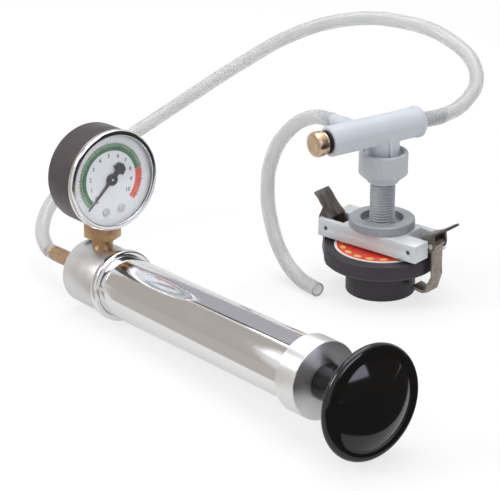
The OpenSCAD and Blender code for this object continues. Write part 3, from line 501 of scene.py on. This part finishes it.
brass = new_material("aged_brass", (0.50, 0.32, 0.17), 1, 0.34)
add_handling(brass, "Roughness", 90, 0.26, 0.46)
add_tint(brass, 55, (0.54, 0.35, 0.185), (0.40, 0.25, 0.14))
add_grain(brass, 900, 0.15)
pale_brass = new_material("turned_brass", (0.72, 0.56, 0.38), 1, 0.26)
add_handling(pale_brass, "Roughness", 90, 0.2, 0.36)
add_tint(pale_brass, 70, (0.74, 0.58, 0.40), (0.64, 0.47, 0.31))
add_grain(pale_brass, 900, 0.1)
movement_brass = new_material("stamped_movement_brass", (0.68, 0.50, 0.24), 1, 0.35)
add_handling(movement_brass, "Roughness", 150, 0.28, 0.45)
add_grain(movement_brass, 1200, 0.1, (1, 1, 6))
steel = new_material("bright_steel", (0.62, 0.61, 0.60), 1, 0.25)
add_handling(steel, "Roughness", 140, 0.18, 0.38)
add_grain(steel, 1500, 0.08)


def softened(name, node, width):
    """A copy of a CAD node with its edges broken, as the real piece's are."""
    deselect()
    source = frame["nodes"][node]
    piece = bpy.data.objects.new(name, source.data.copy())
    bpy.context.scene.collection.objects.link(piece)
    piece.select_set(True)
    bpy.context.view_layer.objects.active = piece
    bpy.ops.object.mode_set(mode='EDIT')
    bpy.ops.mesh.select_all(action='SELECT')
    bpy.ops.mesh.remove_doubles(threshold=0.000002)
    bpy.ops.mesh.dissolve_limited(angle_limit=math.radians(1))
    bpy.ops.mesh.customdata_custom_splitnormals_clear()
    bpy.ops.mesh.normals_make_consistent(inside=False)
    bpy.ops.object.mode_set(mode='OBJECT')
    edge = piece.modifiers.new("edge", 'BEVEL')
    edge.width = width * mm
    edge.segments = 2
    edge.limit_method = 'ANGLE'
    edge.angle_limit = math.radians(35)
    bpy.ops.object.modifier_apply(modifier="edge")
    bpy.ops.object.shade_smooth_by_angle(angle=math.radians(40))
    return piece


def wear_as_built(**materials):
    """Gives pieces that keep the shape of their CAD nodes their materials."""
    for node, material in materials.items():
        wear(frame["nodes"][node], material)


nipple = softened("brass_nipple", "hose_nipple", 0.15)
finish(nipple, brass, "tester", "brass", "hose_nipple")
wear_as_built(head_gasket=rubber, check_seat=movement_brass, check_ball=steel, check_spring=steel,
              rod_bush=movement_brass)

# ---- Plunger ----
# A chromed rod with a rubber cup in the barrel, and a knob of glossy black plastic: a
# trumpet neck that opens to a domed face inside a rolled rim.
gloss_black = new_material("gloss_black_plastic", (0.009, 0.0085, 0.008), 0, 0.12, Specular_IOR_Level=0.45)
add_handling(gloss_black, "Roughness", 30, 0.07, 0.16)
add_grain(gloss_black, 120, 0.05)
KNOB_S = 184.5
RIM_S = 216.0
RIM_R = 25.9
ROLL = 2.6
DOME_H = 7


def arc_points(centre, radius, first, last, count):
    """Points on an arc, as radius and height, with angles in degrees."""
    return [(centre[0] + radius * math.cos(math.radians(first + (last - first) * i / count)),
             centre[1] + radius * math.sin(math.radians(first + (last - first) * i / count)))
            for i in range(count + 1)]


knob_face_r = RIM_R - ROLL
knob_face_s = RIM_S + ROLL - 0.6
dome_r = (knob_face_r ** 2 + DOME_H ** 2) / (2 * DOME_H)
dome_angle = math.degrees(math.asin(knob_face_r / dome_r))
knob = turned("plunger_knob", [(4.05, KNOB_S)] + fillet([
    (6, KNOB_S, 0), (9.25, KNOB_S, 0.8), (9.0, KNOB_S + 8, 6), (10.6, KNOB_S + 12.6, 8), (17.6, KNOB_S + 20.4, 8),
    (22.5, RIM_S - 4.6, 4), (25.2, RIM_S - 4.3, 0)], 6)
    + arc_points((RIM_R, RIM_S), ROLL, -62, 120, 16) + [(knob_face_r + 0.2, knob_face_s - 0.1)]
    + [(dome_r * math.sin(math.radians(a)), knob_face_s + DOME_H - dome_r * (1 - math.cos(math.radians(a))))
       for a in [dome_angle * (1 - i / 14) for i in range(1, 14)]]
    + [(0, knob_face_s + DOME_H), (0, KNOB_S + 22.2), (4.05, KNOB_S + 22.2), (4.05, KNOB_S)], PUMP_X, 128, 60)
finish(knob, gloss_black, "plunger", "knob_plastic", "pump_knob")
rod = turned("plunger_rod", fillet([
    (0, 29, 0), (2.5, 29, 0.3), (2.5, 44.5, 0), (4, 44.5, 0.3), (4, 206.5, 0.4), (0, 206.5, 0)]), PUMP_X, 48)
finish(rod, chrome, "plunger", "steel", "piston_rod")
piston_grey = new_material("piston_acetal", (0.17, 0.18, 0.19), 0, 0.4)
add_handling(piston_grey, "Roughness", 90, 0.3, 0.5)
add_grain(piston_grey, 900, 0.1)
wear_as_built(piston=piston_grey, piston_cup=rubber, piston_nut=movement_brass)

# ---- Gauge socket ----
# A brass hexagon under the case with a short taper thread below it that screws into the
# head's spot face. Its block inside the case carries the Bourdon tube.
socket = softened("brass_socket", "gauge_socket", 0.35)
finish(socket, brass, "tester", "brass", "gauge_socket")

# ---- Gauge ----
# A drawn steel case in dark paint with a polished bezel and a clear lens. Behind them is
# the white dial with its green and red bands, and the needle on the movement's shaft.
IN_GAUGE = ON_PUMP @ Matrix.Translation((0, 0, 55.5 * mm))
GAUGE_X = IN_GAUGE @ ALONG_X
case_paint = new_material("dark_case_paint", (0.045, 0.036, 0.039), 0, 0.42, Specular_IOR_Level=0.5)
add_handling(case_paint, "Roughness", 80, 0.34, 0.5)
add_tint(case_paint, 30, (0.038, 0.03, 0.033), (0.055, 0.044, 0.048))
add_grain(case_paint, 700, 0.25)
case = turned("gauge_case_shell", fillet([
    (0, -13, 0), (26.5, -13, 3.2), (26.5, 10, 0), (25.3, 10, 0), (25.3, -11.6, 1.5), (0, -11.6, 0)], 8), GAUGE_X, 128)
finish(case, case_paint, "tester", "case_paint", "gauge_case")
bezel_steel = new_material("polished_bezel", (0.86, 0.855, 0.86), 1, 0.1)
add_handling(bezel_steel, "Roughness", 90, 0.07, 0.16)
add_turning(bezel_steel, IN_GAUGE.translation, PUMP_TURN, 2200, 0.12)
bezel = turned("bezel_ring", fillet([
    (26.55, 9, 0), (27, 9, 0.2), (27, 12, 1.2), (24.1, 12, 0.35), (24.1, 11.02, 0.1), (26.52, 11.02, 0),
    (26.52, 9, 0), (26.55, 9, 0)], 6), GAUGE_X, 128)
finish(bezel, bezel_steel, "tester", "chromed_steel", "gauge_bezel")
lens_clear = new_material("clear_lens", (1, 1, 1), 0, 0.02, IOR=1.49, Transmission_Weight=1.0)
add_handling(lens_clear, "Roughness", 60, 0.0, 0.04)
lens = turned("gauge_window", fillet([
    (0, 10.02, 0), (26.46, 10.02, 0.1), (26.46, 10.96, 0.2), (0, 10.96, 0)]), GAUGE_X, 96)
lens.visible_shadow = False
finish(lens, lens_clear, "tester", "lens_glass", "gauge_lens")
dial_white = new_material("dial_enamel", (0.80, 0.82, 0.86), 0, 0.45)
add_handling(dial_white, "Roughness", 60, 0.4, 0.52)
add_tint(dial_white, 25, (0.78, 0.80, 0.845), (0.83, 0.845, 0.875))
add_grain(dial_white, 1500, 0.05)
wear_as_built(gauge_dial=dial_white)
DIAL_FACE = 8.0


def on_dial(lift):
    """Places flat work, drawn in X and Y, on the dial as a reader sees it."""
    upright = Matrix(((0, 0, 1, 0), (1, 0, 0, 0), (0, 1, 0, 0), (0, 0, 0, 1)))
    return IN_GAUGE @ Matrix.Translation(((DIAL_FACE + lift) * mm, 0, 0)) @ upright


def dial_band(name, inner, outer, first, last, lift=0.03):
    """A printed band on the dial between two angles, spun from a short bar."""
    deselect()
    bpy.ops.mesh.primitive_plane_add(size=1)
    piece = bpy.context.object
    piece.name = name
    bpy.ops.object.mode_set(mode='EDIT')
    bpy.ops.mesh.select_all(action='SELECT')
    bpy.ops.transform.resize(value=((outer - inner) * mm, 0.02 * mm, 1))
    bpy.ops.transform.rotate(value=math.radians(90), orient_axis='X', center_override=(0, 0, 0))
    bpy.ops.transform.translate(value=((inner + outer) / 2 * mm, 0, 0))
    bpy.ops.transform.rotate(value=math.radians(-first), orient_axis='Z', center_override=(0, 0, 0))
    bpy.ops.mesh.spin(steps=max(2, int(abs(last - first) / 2)), angle=math.radians(first - last),
                      center=(0, 0, 0), axis=(0, 0, 1))
    bpy.ops.mesh.select_all(action='SELECT')
    bpy.ops.mesh.remove_doubles(threshold=0.000001)
    bpy.ops.mesh.normals_make_consistent(inside=False)
    bpy.ops.object.mode_set(mode='OBJECT')
    set_in_place(piece, on_dial(lift), 30)
    return piece


green_ink = new_material("green_band_ink", (0.04, 0.15, 0.075), 0, 0.5)
add_tint(green_ink, 200, (0.035, 0.13, 0.065), (0.08, 0.20, 0.11))
light_green_ink = new_material("pale_green_ink", (0.20, 0.33, 0.20), 0, 0.5)
add_tint(light_green_ink, 200, (0.17, 0.30, 0.18), (0.28, 0.40, 0.27))
red_ink = new_material("red_band_ink", (0.70, 0.075, 0.04), 0, 0.5)
add_tint(red_ink, 200, (0.66, 0.06, 0.03), (0.78, 0.14, 0.09))
black_ink = new_material("dial_black_ink", (0.05, 0.05, 0.06), 0, 0.5)
add_handling(black_ink, "Roughness", 300, 0.42, 0.6)
ZERO_AT = 225.5
STEP = 26.0
NUMBERS_R = 12.6
for band_name, inner, outer, first, last, ink in (
        ("green_band", 15.2, 17.3, ZERO_AT - 1, 12, green_ink),
        ("pale_green_band", 17.3, 19.1, ZERO_AT - 1, 12, light_green_ink),
        ("red_band", 15.2, 19.1, 11.6, -42, red_ink)):
    band = dial_band(band_name, inner, outer, last, first)
    finish(band, ink, "tester", "dial_white")


def joined(pieces, name):
    """Joins pieces into one mesh."""
    deselect()
    for piece in pieces:
        piece.select_set(True)
    bpy.context.view_layer.objects.active = pieces[0]
    bpy.ops.object.join()
    pieces[0].name = name
    return pieces[0]


ticks = []
for i in range(51):
    angle = ZERO_AT - i * STEP / 5
    long_tick = i % 5 == 0
    half = 0.5 if long_tick else 0.28
    ticks.append(dial_band(f"tick_{i}", 17.1 if long_tick else 18.0, 19.9, angle - half, angle + half, 0.06))
tick_marks = joined(ticks, "dial_ticks")
finish(tick_marks, black_ink, "tester", "dial_white")
numbers = []
for i in range(11):
    angle = math.radians(ZERO_AT - i * STEP)
    deselect()
    bpy.ops.object.text_add()
    number = bpy.context.object
    number.data.body = str(i)
    number.data.size = 3.0 * mm
    number.data.align_x = 'CENTER'
    number.data.align_y = 'CENTER'
    number.data.extrude = 0.015 * mm
    number.data.offset = 0.04 * mm
    bpy.ops.object.convert(target='MESH')
    set_in_place(number, on_dial(0.04) @ Matrix.Translation((NUMBERS_R * math.cos(angle) * mm,
                                                             NUMBERS_R * math.sin(angle) * mm, 0)))
    numbers.append(number)
finish(joined(numbers, "dial_numbers"), black_ink, "tester", "dial_white")

needle_paint = new_material("needle_black_paint", (0.03, 0.026, 0.027), 0, 0.4)
add_handling(needle_paint, "Roughness", 200, 0.3, 0.5)
needle = softened("gauge_pointer", "gauge_needle", 0.12)
finish(needle, needle_paint, "needle", "needle_black", "gauge_needle")
screws = softened("dial_screw_heads", "dial_screws", 0.3)
finish(screws, steel, "tester", "steel", "dial_screws")
wear_as_built(dial_stop_pin=steel, bourdon_tube=movement_brass, movement_frame=movement_brass,
              sector_gear=movement_brass, bourdon_link=movement_brass, hairspring=movement_brass,
              needle_shaft=steel)

# ---- Tee and release valve ----
# A cast tee in light grey paint with a ribbed barb under the hose, a drain barb behind,
# and a brass release button that lifts a spring-loaded stem off its seat.
ON_TEE = Matrix.Translation((0, 0, 92.05 * mm)) @ Matrix.Rotation(TEE_YAW, 4, 'Z')
grey_paint = new_material("light_grey_paint", (0.52, 0.55, 0.60), 0, 0.42, Specular_IOR_Level=0.4)
add_handling(grey_paint, "Roughness", 90, 0.36, 0.52)
add_tint(grey_paint, 30, (0.50, 0.53, 0.58), (0.56, 0.59, 0.635))
add_grain(grey_paint, 650, 0.22)
tee = softened("tee_casting", "tee_body", 0.35)
finish(tee, grey_paint, "tester", "tee_aluminium", "tee_body")
barb = softened("tee_ribbed_barb", "tee_inlet_barb", 0.08)
finish(barb, grey_paint, "tester", "tee_aluminium", "tee_inlet_barb")
drain = softened("tee_drain_spout", "tee_drain_barb", 0.15)
finish(drain, grey_paint, "tester", "tee_aluminium", "tee_drain_barb")
TEE_X = ON_TEE @ ALONG_X
button = turned("release_knob", fillet([
    (0, -46.2, 0), (4.6, -46.5, 1.2), (6.2, -46.1, 0.6), (6.8, -44.9, 0.5), (6.8, -41.6, 0.4), (5.9, -40.6, 0.5),
    (6.1, -39.5, 0.3), (4.6, -39.5, 0), (4.6, -44.5, 0), (1.55, -44.5, 0), (1.55, -45.4, 0), (0, -45.4, 0)]), TEE_X)
finish(button, pale_brass, "release_button", "brass", "valve_button")
wear_as_built(valve_bush=pale_brass, valve_stem=steel, valve_seal_ring=rubber, dust_ring=rubber)
coil = softened("valve_coil", "valve_spring", 0.05)
finish(coil, steel, "tester", "steel", "valve_spring")
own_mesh(coil)

# ---- Cup and threaded tube ----
# The turned cup, whose side has fine upright ribs, clamps the tee's neck on the tube's
# end. The tube carries a fine rolled thread from the cup to the seal's foot.
cup_paint = new_material("cup_grey_paint", (0.47, 0.49, 0.53), 0, 0.42, Specular_IOR_Level=0.4)
add_handling(cup_paint, "Roughness", 90, 0.36, 0.52)
add_tint(cup_paint, 30, (0.45, 0.47, 0.51), (0.50, 0.52, 0.56))
add_grain(cup_paint, 650, 0.22)
CUP_STEPS = 128
CUP_SIDE_R = 13.1 * mm
CUP_RIB_DEPTH = 0.16 * mm
cup = turned("neck_cup_shell", fillet([
    (3.5, 62.65, 0), (8.45, 62.65, 0.3), (8.45, 63.45, 0.2), (13.25, 67.65, 0.8), (13.25, 79.65, 0.9),
    (11.2, 79.65, 0.3), (10.25, 77.85, 0.3), (8.55, 77.85, 0), (8.55, 73.65, 0), (3.5, 73.65, 0),
    (3.5, 62.65, 0)]), steps=CUP_STEPS)
for point in cup.data.vertices:
    off = Vector((point.co.x, point.co.y))
    step = round(math.atan2(off.y, off.x) / math.tau * CUP_STEPS)
    if off.length > CUP_SIDE_R and step % 2:
        point.co.xy = off * (1 - CUP_RIB_DEPTH / off.length)
deselect()
cup.select_set(True)
bpy.context.view_layer.objects.active = cup
bpy.ops.object.shade_smooth_by_angle(angle=math.radians(18))
finish(cup, cup_paint, "tester", "tee_aluminium", "neck_cup")
thread_paint = new_material("thread_grey", (0.42, 0.43, 0.46), 0.6, 0.4)
add_handling(thread_paint, "Roughness", 120, 0.32, 0.5)
THREAD_R = 6.85
THREAD_DEPTH = 0.6
THREAD_PITCH = 1.5


def helix_thread(name, outer, depth, pitch, low, high, wall, steps):
    """A rolled thread: one pitch of its outline, wound upward, with a wall inside."""
    deselect()
    bpy.ops.mesh.primitive_plane_add(size=mm)
    piece = bpy.context.object
    piece.name = name
    bpy.ops.object.mode_set(mode='EDIT')
    bpy.ops.mesh.select_all(action='SELECT')
    bpy.ops.mesh.merge(type='CENTER')
    bpy.ops.transform.translate(value=((outer - depth) * mm, 0, low * mm))
    root_flank_crest_flank = [(0, 0.15), (depth, 0.35), (0, 0.15), (-depth, 0.35)]
    for dr, share in root_flank_crest_flank:
        bpy.ops.mesh.extrude_vertices_move(TRANSFORM_OT_translate={"value": (dr * mm, 0, share * pitch * mm)})
    bpy.ops.object.mode_set(mode='OBJECT')
    wind = piece.modifiers.new("wind", 'SCREW')
    wind.axis = 'Z'
    wind.steps = steps
    wind.render_steps = steps
    wind.screw_offset = pitch * mm
    wind.iterations = int((high - low) / pitch) - 1
    wind.use_merge_vertices = True
    wind.merge_threshold = 0.000005
    bpy.ops.object.modifier_apply(modifier="wind")
    bpy.ops.object.mode_set(mode='EDIT')
    bpy.ops.mesh.select_all(action='SELECT')
    bpy.ops.mesh.remove_doubles(threshold=0.000005)
    bpy.ops.mesh.normals_make_consistent(inside=False)
    bpy.ops.object.mode_set(mode='OBJECT')
    back = piece.modifiers.new("back", 'SOLIDIFY')
    back.thickness = wall * mm
    back.offset = -1
    bpy.ops.object.modifier_apply(modifier="back")
    set_in_place(piece, Matrix.Identity(4), 25)
    return piece


thread = helix_thread("tube_thread", THREAD_R, THREAD_DEPTH, THREAD_PITCH, low=2.0, high=62.4, wall=1.2, steps=64)
tube_core = turned("tube_core", fillet([
    (3.5, 2, 0), (6.3, 2, 0.3), (6.3, 62.0, 0), (THREAD_R, 62.2, 0), (THREAD_R, 69.65, 0.3), (3.5, 69.65, 0),
    (3.5, 2, 0)]), steps=64)
threaded = joined([tube_core, thread], "threaded_pipe")
finish(threaded, thread_paint, "tester", "nut_aluminium", "threaded_tube")
wear_as_built(cup_seal_ring=rubber)

# ---- Ring nut ----
# A turned ring with a finely ribbed rim and a recess round the tube, held in the plate by
# a spring clip on its sleeve. Turning it draws the clamp plate up the thread.
nut_paint = new_material("ring_nut_grey", (0.37, 0.385, 0.41), 0.3, 0.45)
add_handling(nut_paint, "Roughness", 110, 0.38, 0.55)
add_tint(nut_paint, 60, (0.35, 0.365, 0.39), (0.41, 0.425, 0.45))
add_grain(nut_paint, 900, 0.15)
NUT_RIBS = 90
nut = turned("ring_nut_body", fillet([
    (6.9, 27.8, 0), (9, 27.8, 0.2), (9, 29.25, 0), (10, 29.25, 0), (10, 37.05, 0), (17.4, 37.05, 0.4),
    (17.4, 42.25, 0.7), (11.6, 42.25, 0.4), (11.6, 38.25, 0.3), (6.9, 38.25, 0), (6.9, 27.8, 0)]), steps=120)
ribs = []
deselect()
bpy.ops.mesh.primitive_cylinder_add(vertices=8, radius=0.45 * mm, depth=4.2 * mm,
                                    location=(17.42 * mm, 0, 39.65 * mm))
rib = bpy.context.object
bpy.ops.object.transform_apply(location=True, rotation=True, scale=True)
edge = rib.modifiers.new("edge", 'BEVEL')
edge.width = 0.12 * mm
edge.limit_method = 'ANGLE'
edge.angle_limit = math.radians(60)
bpy.ops.object.modifier_apply(modifier="edge")
for i in range(NUT_RIBS):
    copy = bpy.data.objects.new(f"rib_{i}", rib.data.copy())
    bpy.context.scene.collection.objects.link(copy)
    copy.data.transform(Matrix.Rotation(math.tau * i / NUT_RIBS, 4, 'Z'))
    ribs.append(copy)
bpy.data.objects.remove(rib)
nut_ribs = joined(ribs, "ring_nut_ribs")
nut = joined([nut, nut_ribs], "ring_nut_body")
bpy.ops.object.shade_smooth_by_angle(angle=math.radians(30))
finish(nut, nut_paint, "clamp_nut", "nut_aluminium", "ring_nut")
wear_as_built(nut_clip=steel)

# ---- Clamp plate ----
# A pressed aluminium plate with a slot at each end for a lever, and steel pins through
# its sides.
plate_paint = new_material("plate_aluminium_paint", (0.62, 0.64, 0.67), 0.2, 0.42)
add_handling(plate_paint, "Roughness", 70, 0.34, 0.52)
add_tint(plate_paint, 35, (0.60, 0.62, 0.65), (0.66, 0.68, 0.70))
add_grain(plate_paint, 800, 0.15, (1, 4, 1))
plate = softened("clamp_bar", "clamp_plate", 0.5)
finish(plate, plate_paint, "clamp", "plate_aluminium", "clamp_plate")
dark_steel = new_material("oiled_dark_steel", (0.10, 0.09, 0.09), 0.8, 0.4)
add_handling(dark_steel, "Roughness", 200, 0.32, 0.5)
wear_as_built(lever_pins=dark_steel)

# ---- Levers and hooks ----
# Two thumb levers, pressed from dark steel strip, turn on the plate's pins. Each carries
# a strap hook on a bright rivet, which reaches down and in under the filler neck's lip.
lever_steel = new_material("browned_spring_steel", (0.11, 0.092, 0.086), 0.75, 0.4)
add_handling(lever_steel, "Roughness", 160, 0.28, 0.55, (1, 1, 5))
add_tint(lever_steel, 110, (0.09, 0.076, 0.07), (0.20, 0.17, 0.155), (1, 4, 1))
add_grain(lever_steel, 700, 0.2, (1, 5, 1))
hook_steel = new_material("worn_hook_steel", (0.27, 0.235, 0.205), 0.85, 0.36)
add_handling(hook_steel, "Roughness", 150, 0.25, 0.5, (1, 1, 5))
add_tint(hook_steel, 90, (0.22, 0.19, 0.165), (0.40, 0.35, 0.31), (1, 4, 1))
add_grain(hook_steel, 600, 0.2, (1, 5, 1))
for side in ("left", "right"):
    lever = softened(f"{side}_thumb_lever", f"{side}_lever", 0.22)
    finish(lever, lever_steel, f"{side}_latch", "lever_steel", f"{side}_lever")
    hook = softened(f"{side}_strap_hook", f"{side}_hook", 0.22)
    finish(hook, hook_steel, f"{side}_hook", "hook_steel", f"{side}_hook")
    rivet = softened(f"{side}_rivet", f"{side}_hook_pin", 0.15)
    finish(rivet, steel, f"{side}_latch", "steel", f"{side}_hook_pin")

# ---- Neck seal ----
# A moulded black rubber seal: a plug for the filler neck under a thick flange, with a
# round paper label on its top. A washer and a nut hold it on the tube.
seal = turned("neck_seal_rubber", fillet([
    (6.87, 9, 0), (13, 9, 0), (13, 0, 0.3), (19, 0, 0.8), (19, 15, 0), (20.5, 16.5, 0.8), (29.8, 16.5, 1.2),
    (31, 17.7, 1.2), (31, 25.5, 1.1), (6.87, 25.5, 0.2), (6.87, 9, 0)]), steps=128)
finish(seal, rubber, "tester", "black_rubber", "neck_seal")
LABEL_EDGE_R = 24.2 * mm
LABEL_DOTS = 18
LABEL_DOTS_R = 21.2 * mm
LABEL_DOT_HALF = 1.5 * mm
LABEL_DOT_NARROW = 3.2
label_print = new_material("printed_label", (0.75, 0.07, 0.04), 0, 0.38)
add_handling(label_print, "Roughness", 90, 0.3, 0.48)


def add_label_print(material):
    """Prints the label: a red field with a white edge and a ring of plain yellow dots."""
    tree = material.node_tree
    place = tree.nodes.new("ShaderNodeTexCoord")
    apart = tree.nodes.new("ShaderNodeSeparateXYZ")
    tree.links.new(place.outputs["Object"], apart.inputs[0])
    x, y = apart.outputs["X"], apart.outputs["Y"]
    across = math_node(tree, 'SQRT', math_node(tree, 'ADD', math_node(tree, 'POWER', x, 2),
                                               math_node(tree, 'POWER', y, 2)))
    edge_white = math_node(tree, 'GREATER_THAN', across, LABEL_EDGE_R)
    turn = math_node(tree, 'MULTIPLY', math_node(tree, 'ARCTAN2', y, x), LABEL_DOTS / math.tau)
    spot = math_node(tree, 'ABSOLUTE', math_node(tree, 'SUBTRACT', math_node(tree, 'FRACT', turn), 0.5))
    ring = math_node(tree, 'ABSOLUTE', math_node(tree, 'SUBTRACT', across, LABEL_DOTS_R))
    reach = math_node(tree, 'ADD', math_node(tree, 'POWER', math_node(tree, 'MULTIPLY', spot, LABEL_DOT_NARROW), 2),
                      math_node(tree, 'POWER', math_node(tree, 'MULTIPLY', ring, 1 / LABEL_DOT_HALF), 2))
    yellow = math_node(tree, 'LESS_THAN', reach, 1)
    base = (0.75, 0.06, 0.035, 1)
    for mask, color in ((yellow, (0.85, 0.55, 0.12, 1)), (edge_white, (0.82, 0.80, 0.78, 1))):
        mix = tree.nodes.new("ShaderNodeMix")
        mix.data_type = 'RGBA'
        tree.links.new(mask, mix.inputs["Factor"])
        if isinstance(base, tuple):
            mix.inputs["A"].default_value = base
        else:
            tree.links.new(base, mix.inputs["A"])
        mix.inputs["B"].default_value = color
        base = mix.outputs["Result"]
    tree.links.new(base, tree.nodes["Principled BSDF"].inputs["Base Color"])


add_label_print(label_print)
wear_as_built(seal_label=label_print, seal_washer=steel, seal_nut=steel)

# ---- Studio ----
# A white floor and surround, one broad soft light above, a window-like one at the left
# and a weak one at the right. Grey cards out of view give the chrome its bands.
deselect()
bpy.ops.mesh.primitive_plane_add(size=6, location=(0, 0, cad_box[0].z - 0.0003))
floor = bpy.context.object
floor.name = "studio_floor"


def white_where_seen(tree, shader_out, target, share, in_metal):
    """Mixes plain white into what the camera and glass see of a surface, and less in metal."""
    seen = tree.nodes.new("ShaderNodeLightPath")
    total = math_node(tree, 'ADD', math_node(tree, 'ADD', seen.outputs["Is Camera Ray"],
                                             seen.outputs["Is Glossy Ray"]), seen.outputs["Is Transmission Ray"])
    amount = math_node(tree, 'MULTIPLY', math_node(tree, 'MINIMUM', total, 1), share)
    white = tree.nodes.new("ShaderNodeEmission")
    dimmed = math_node(tree, 'MULTIPLY', seen.outputs["Is Glossy Ray"], 1 - in_metal)
    link(tree, (math_node(tree, 'SUBTRACT', 1, dimmed), white.inputs["Strength"]))
    mix = tree.nodes.new("ShaderNodeMixShader")
    link(tree, (amount, mix.inputs[0]), (shader_out, mix.inputs[1]), (white.outputs[0], mix.inputs[2]),
         (mix.outputs[0], target))


floor_material = new_material("floor_white", (0.86, 0.86, 0.86), 0, 0.9)
floor_tree = floor_material.node_tree
white_where_seen(floor_tree, floor_tree.nodes["Principled BSDF"].outputs[0],
                 floor_tree.nodes["Material Output"].inputs["Surface"], 0.72, 0.75)
wear(floor, floor_material)
world = bpy.data.worlds.new("studio_world")
world.use_nodes = True
bpy.context.scene.world = world
world_tree = world.node_tree
sky = world_tree.nodes["Background"]
sky.inputs["Color"].default_value = (1, 1, 1, 1)
sky.inputs["Strength"].default_value = 0.42
white_where_seen(world_tree, sky.outputs[0], world_tree.nodes["World Output"].inputs["Surface"], 1.0, 0.8)


def soft_light(name, place, aim, size, power):
    """A square area light aimed at a point, unseen by the camera."""
    deselect()
    bpy.ops.object.light_add(type='AREA', location=place)
    lamp = bpy.context.object
    lamp.name = name
    lamp.data.shape = 'SQUARE'
    lamp.data.size = size
    lamp.data.energy = power
    lamp.rotation_euler = (Vector(aim) - Vector(place)).to_track_quat('-Z', 'Y').to_euler()
    return lamp


soft_light("top_softbox", (-0.2, 0.1, 1.3), (-0.02, -0.05, 0.03), 1.3, 14)
soft_light("window_left", (-0.75, -0.95, 0.85), (-0.02, -0.08, 0.03), 0.5, 7)
soft_light("fill_right", (1.0, -0.3, 0.6), (0, -0.05, 0.05), 0.7, 3).visible_glossy = False


def grey_card(name, corners, color, strength=1):
    """A card through four corners that only mirror-like pieces see, to shade the chrome as a room would."""
    deselect()
    bpy.ops.mesh.primitive_plane_add(size=1)
    card = bpy.context.object
    card.name = name
    for point, corner in zip(card.data.vertices, corners):
        point.co = Vector(corner)
    card_material = bpy.data.materials.new(name)
    card_material.use_nodes = True
    tree = card_material.node_tree
    glow = tree.nodes.new("ShaderNodeEmission")
    glow.inputs["Color"].default_value = (*color, 1)
    glow.inputs["Strength"].default_value = strength
    tree.links.new(glow.outputs[0], tree.nodes["Material Output"].inputs["Surface"])
    wear(card, card_material)
    for ray in ("visible_camera", "visible_diffuse", "visible_shadow", "visible_transmission"):
        setattr(card, ray, False)


FLOOR_CARD_Z = cad_box[0].z - 0.0001
grey_card("warm_card", [(-1.12, 0.06, 0.82), (-0.62, -0.26, 0.98), (-1.25, -0.52, 0.0), (-0.86, -1.0, 0.0)],
          (0.46, 0.42, 0.39))
grey_card("dark_strip", [(-0.93, 0.12, 0.66), (-0.45, -0.04, 0.86), (-0.94, 0.055, 0.67), (-0.46, -0.105, 0.87)],
          (0.03, 0.028, 0.03))
grey_card("cool_card", [(-0.95, 0.86, 0.34), (-0.34, 0.9, 0.4), (-1.08, 0.13, 0.80), (-0.57, -0.08, 0.98)],
          (0.44, 0.43, 0.47))
grey_card("warm_floor_card", [(-0.118, -0.15, FLOOR_CARD_Z), (0.03, -0.19, FLOOR_CARD_Z),
                              (-1.3, -0.5, FLOOR_CARD_Z), (-0.8, -1.1, FLOOR_CARD_Z)], (0.50, 0.46, 0.43))
grey_card("dark_floor_card", [(0.122, -0.55, FLOOR_CARD_Z), (1.2, -0.6, FLOOR_CARD_Z),
                              (0.15, 0.5, FLOOR_CARD_Z), (1.2, 0.7, FLOOR_CARD_Z)], (0.03, 0.028, 0.028))
grey_card("dark_room_card", [(1.3, -1.1, 0.0), (0.7, 2.0, 0.0), (1.3, -1.1, 1.1), (0.7, 2.0, 1.1)],
          (0.04, 0.038, 0.038))
grey_card("window_card", [(0.98, -0.55, 0.38), (0.98, 0.02, 0.34), (0.86, -0.6, 0.88), (0.86, 0.04, 0.86)],
          (0.82, 0.80, 1.0), 4.5)

bpy.context.scene.view_settings.view_transform = 'Standard'
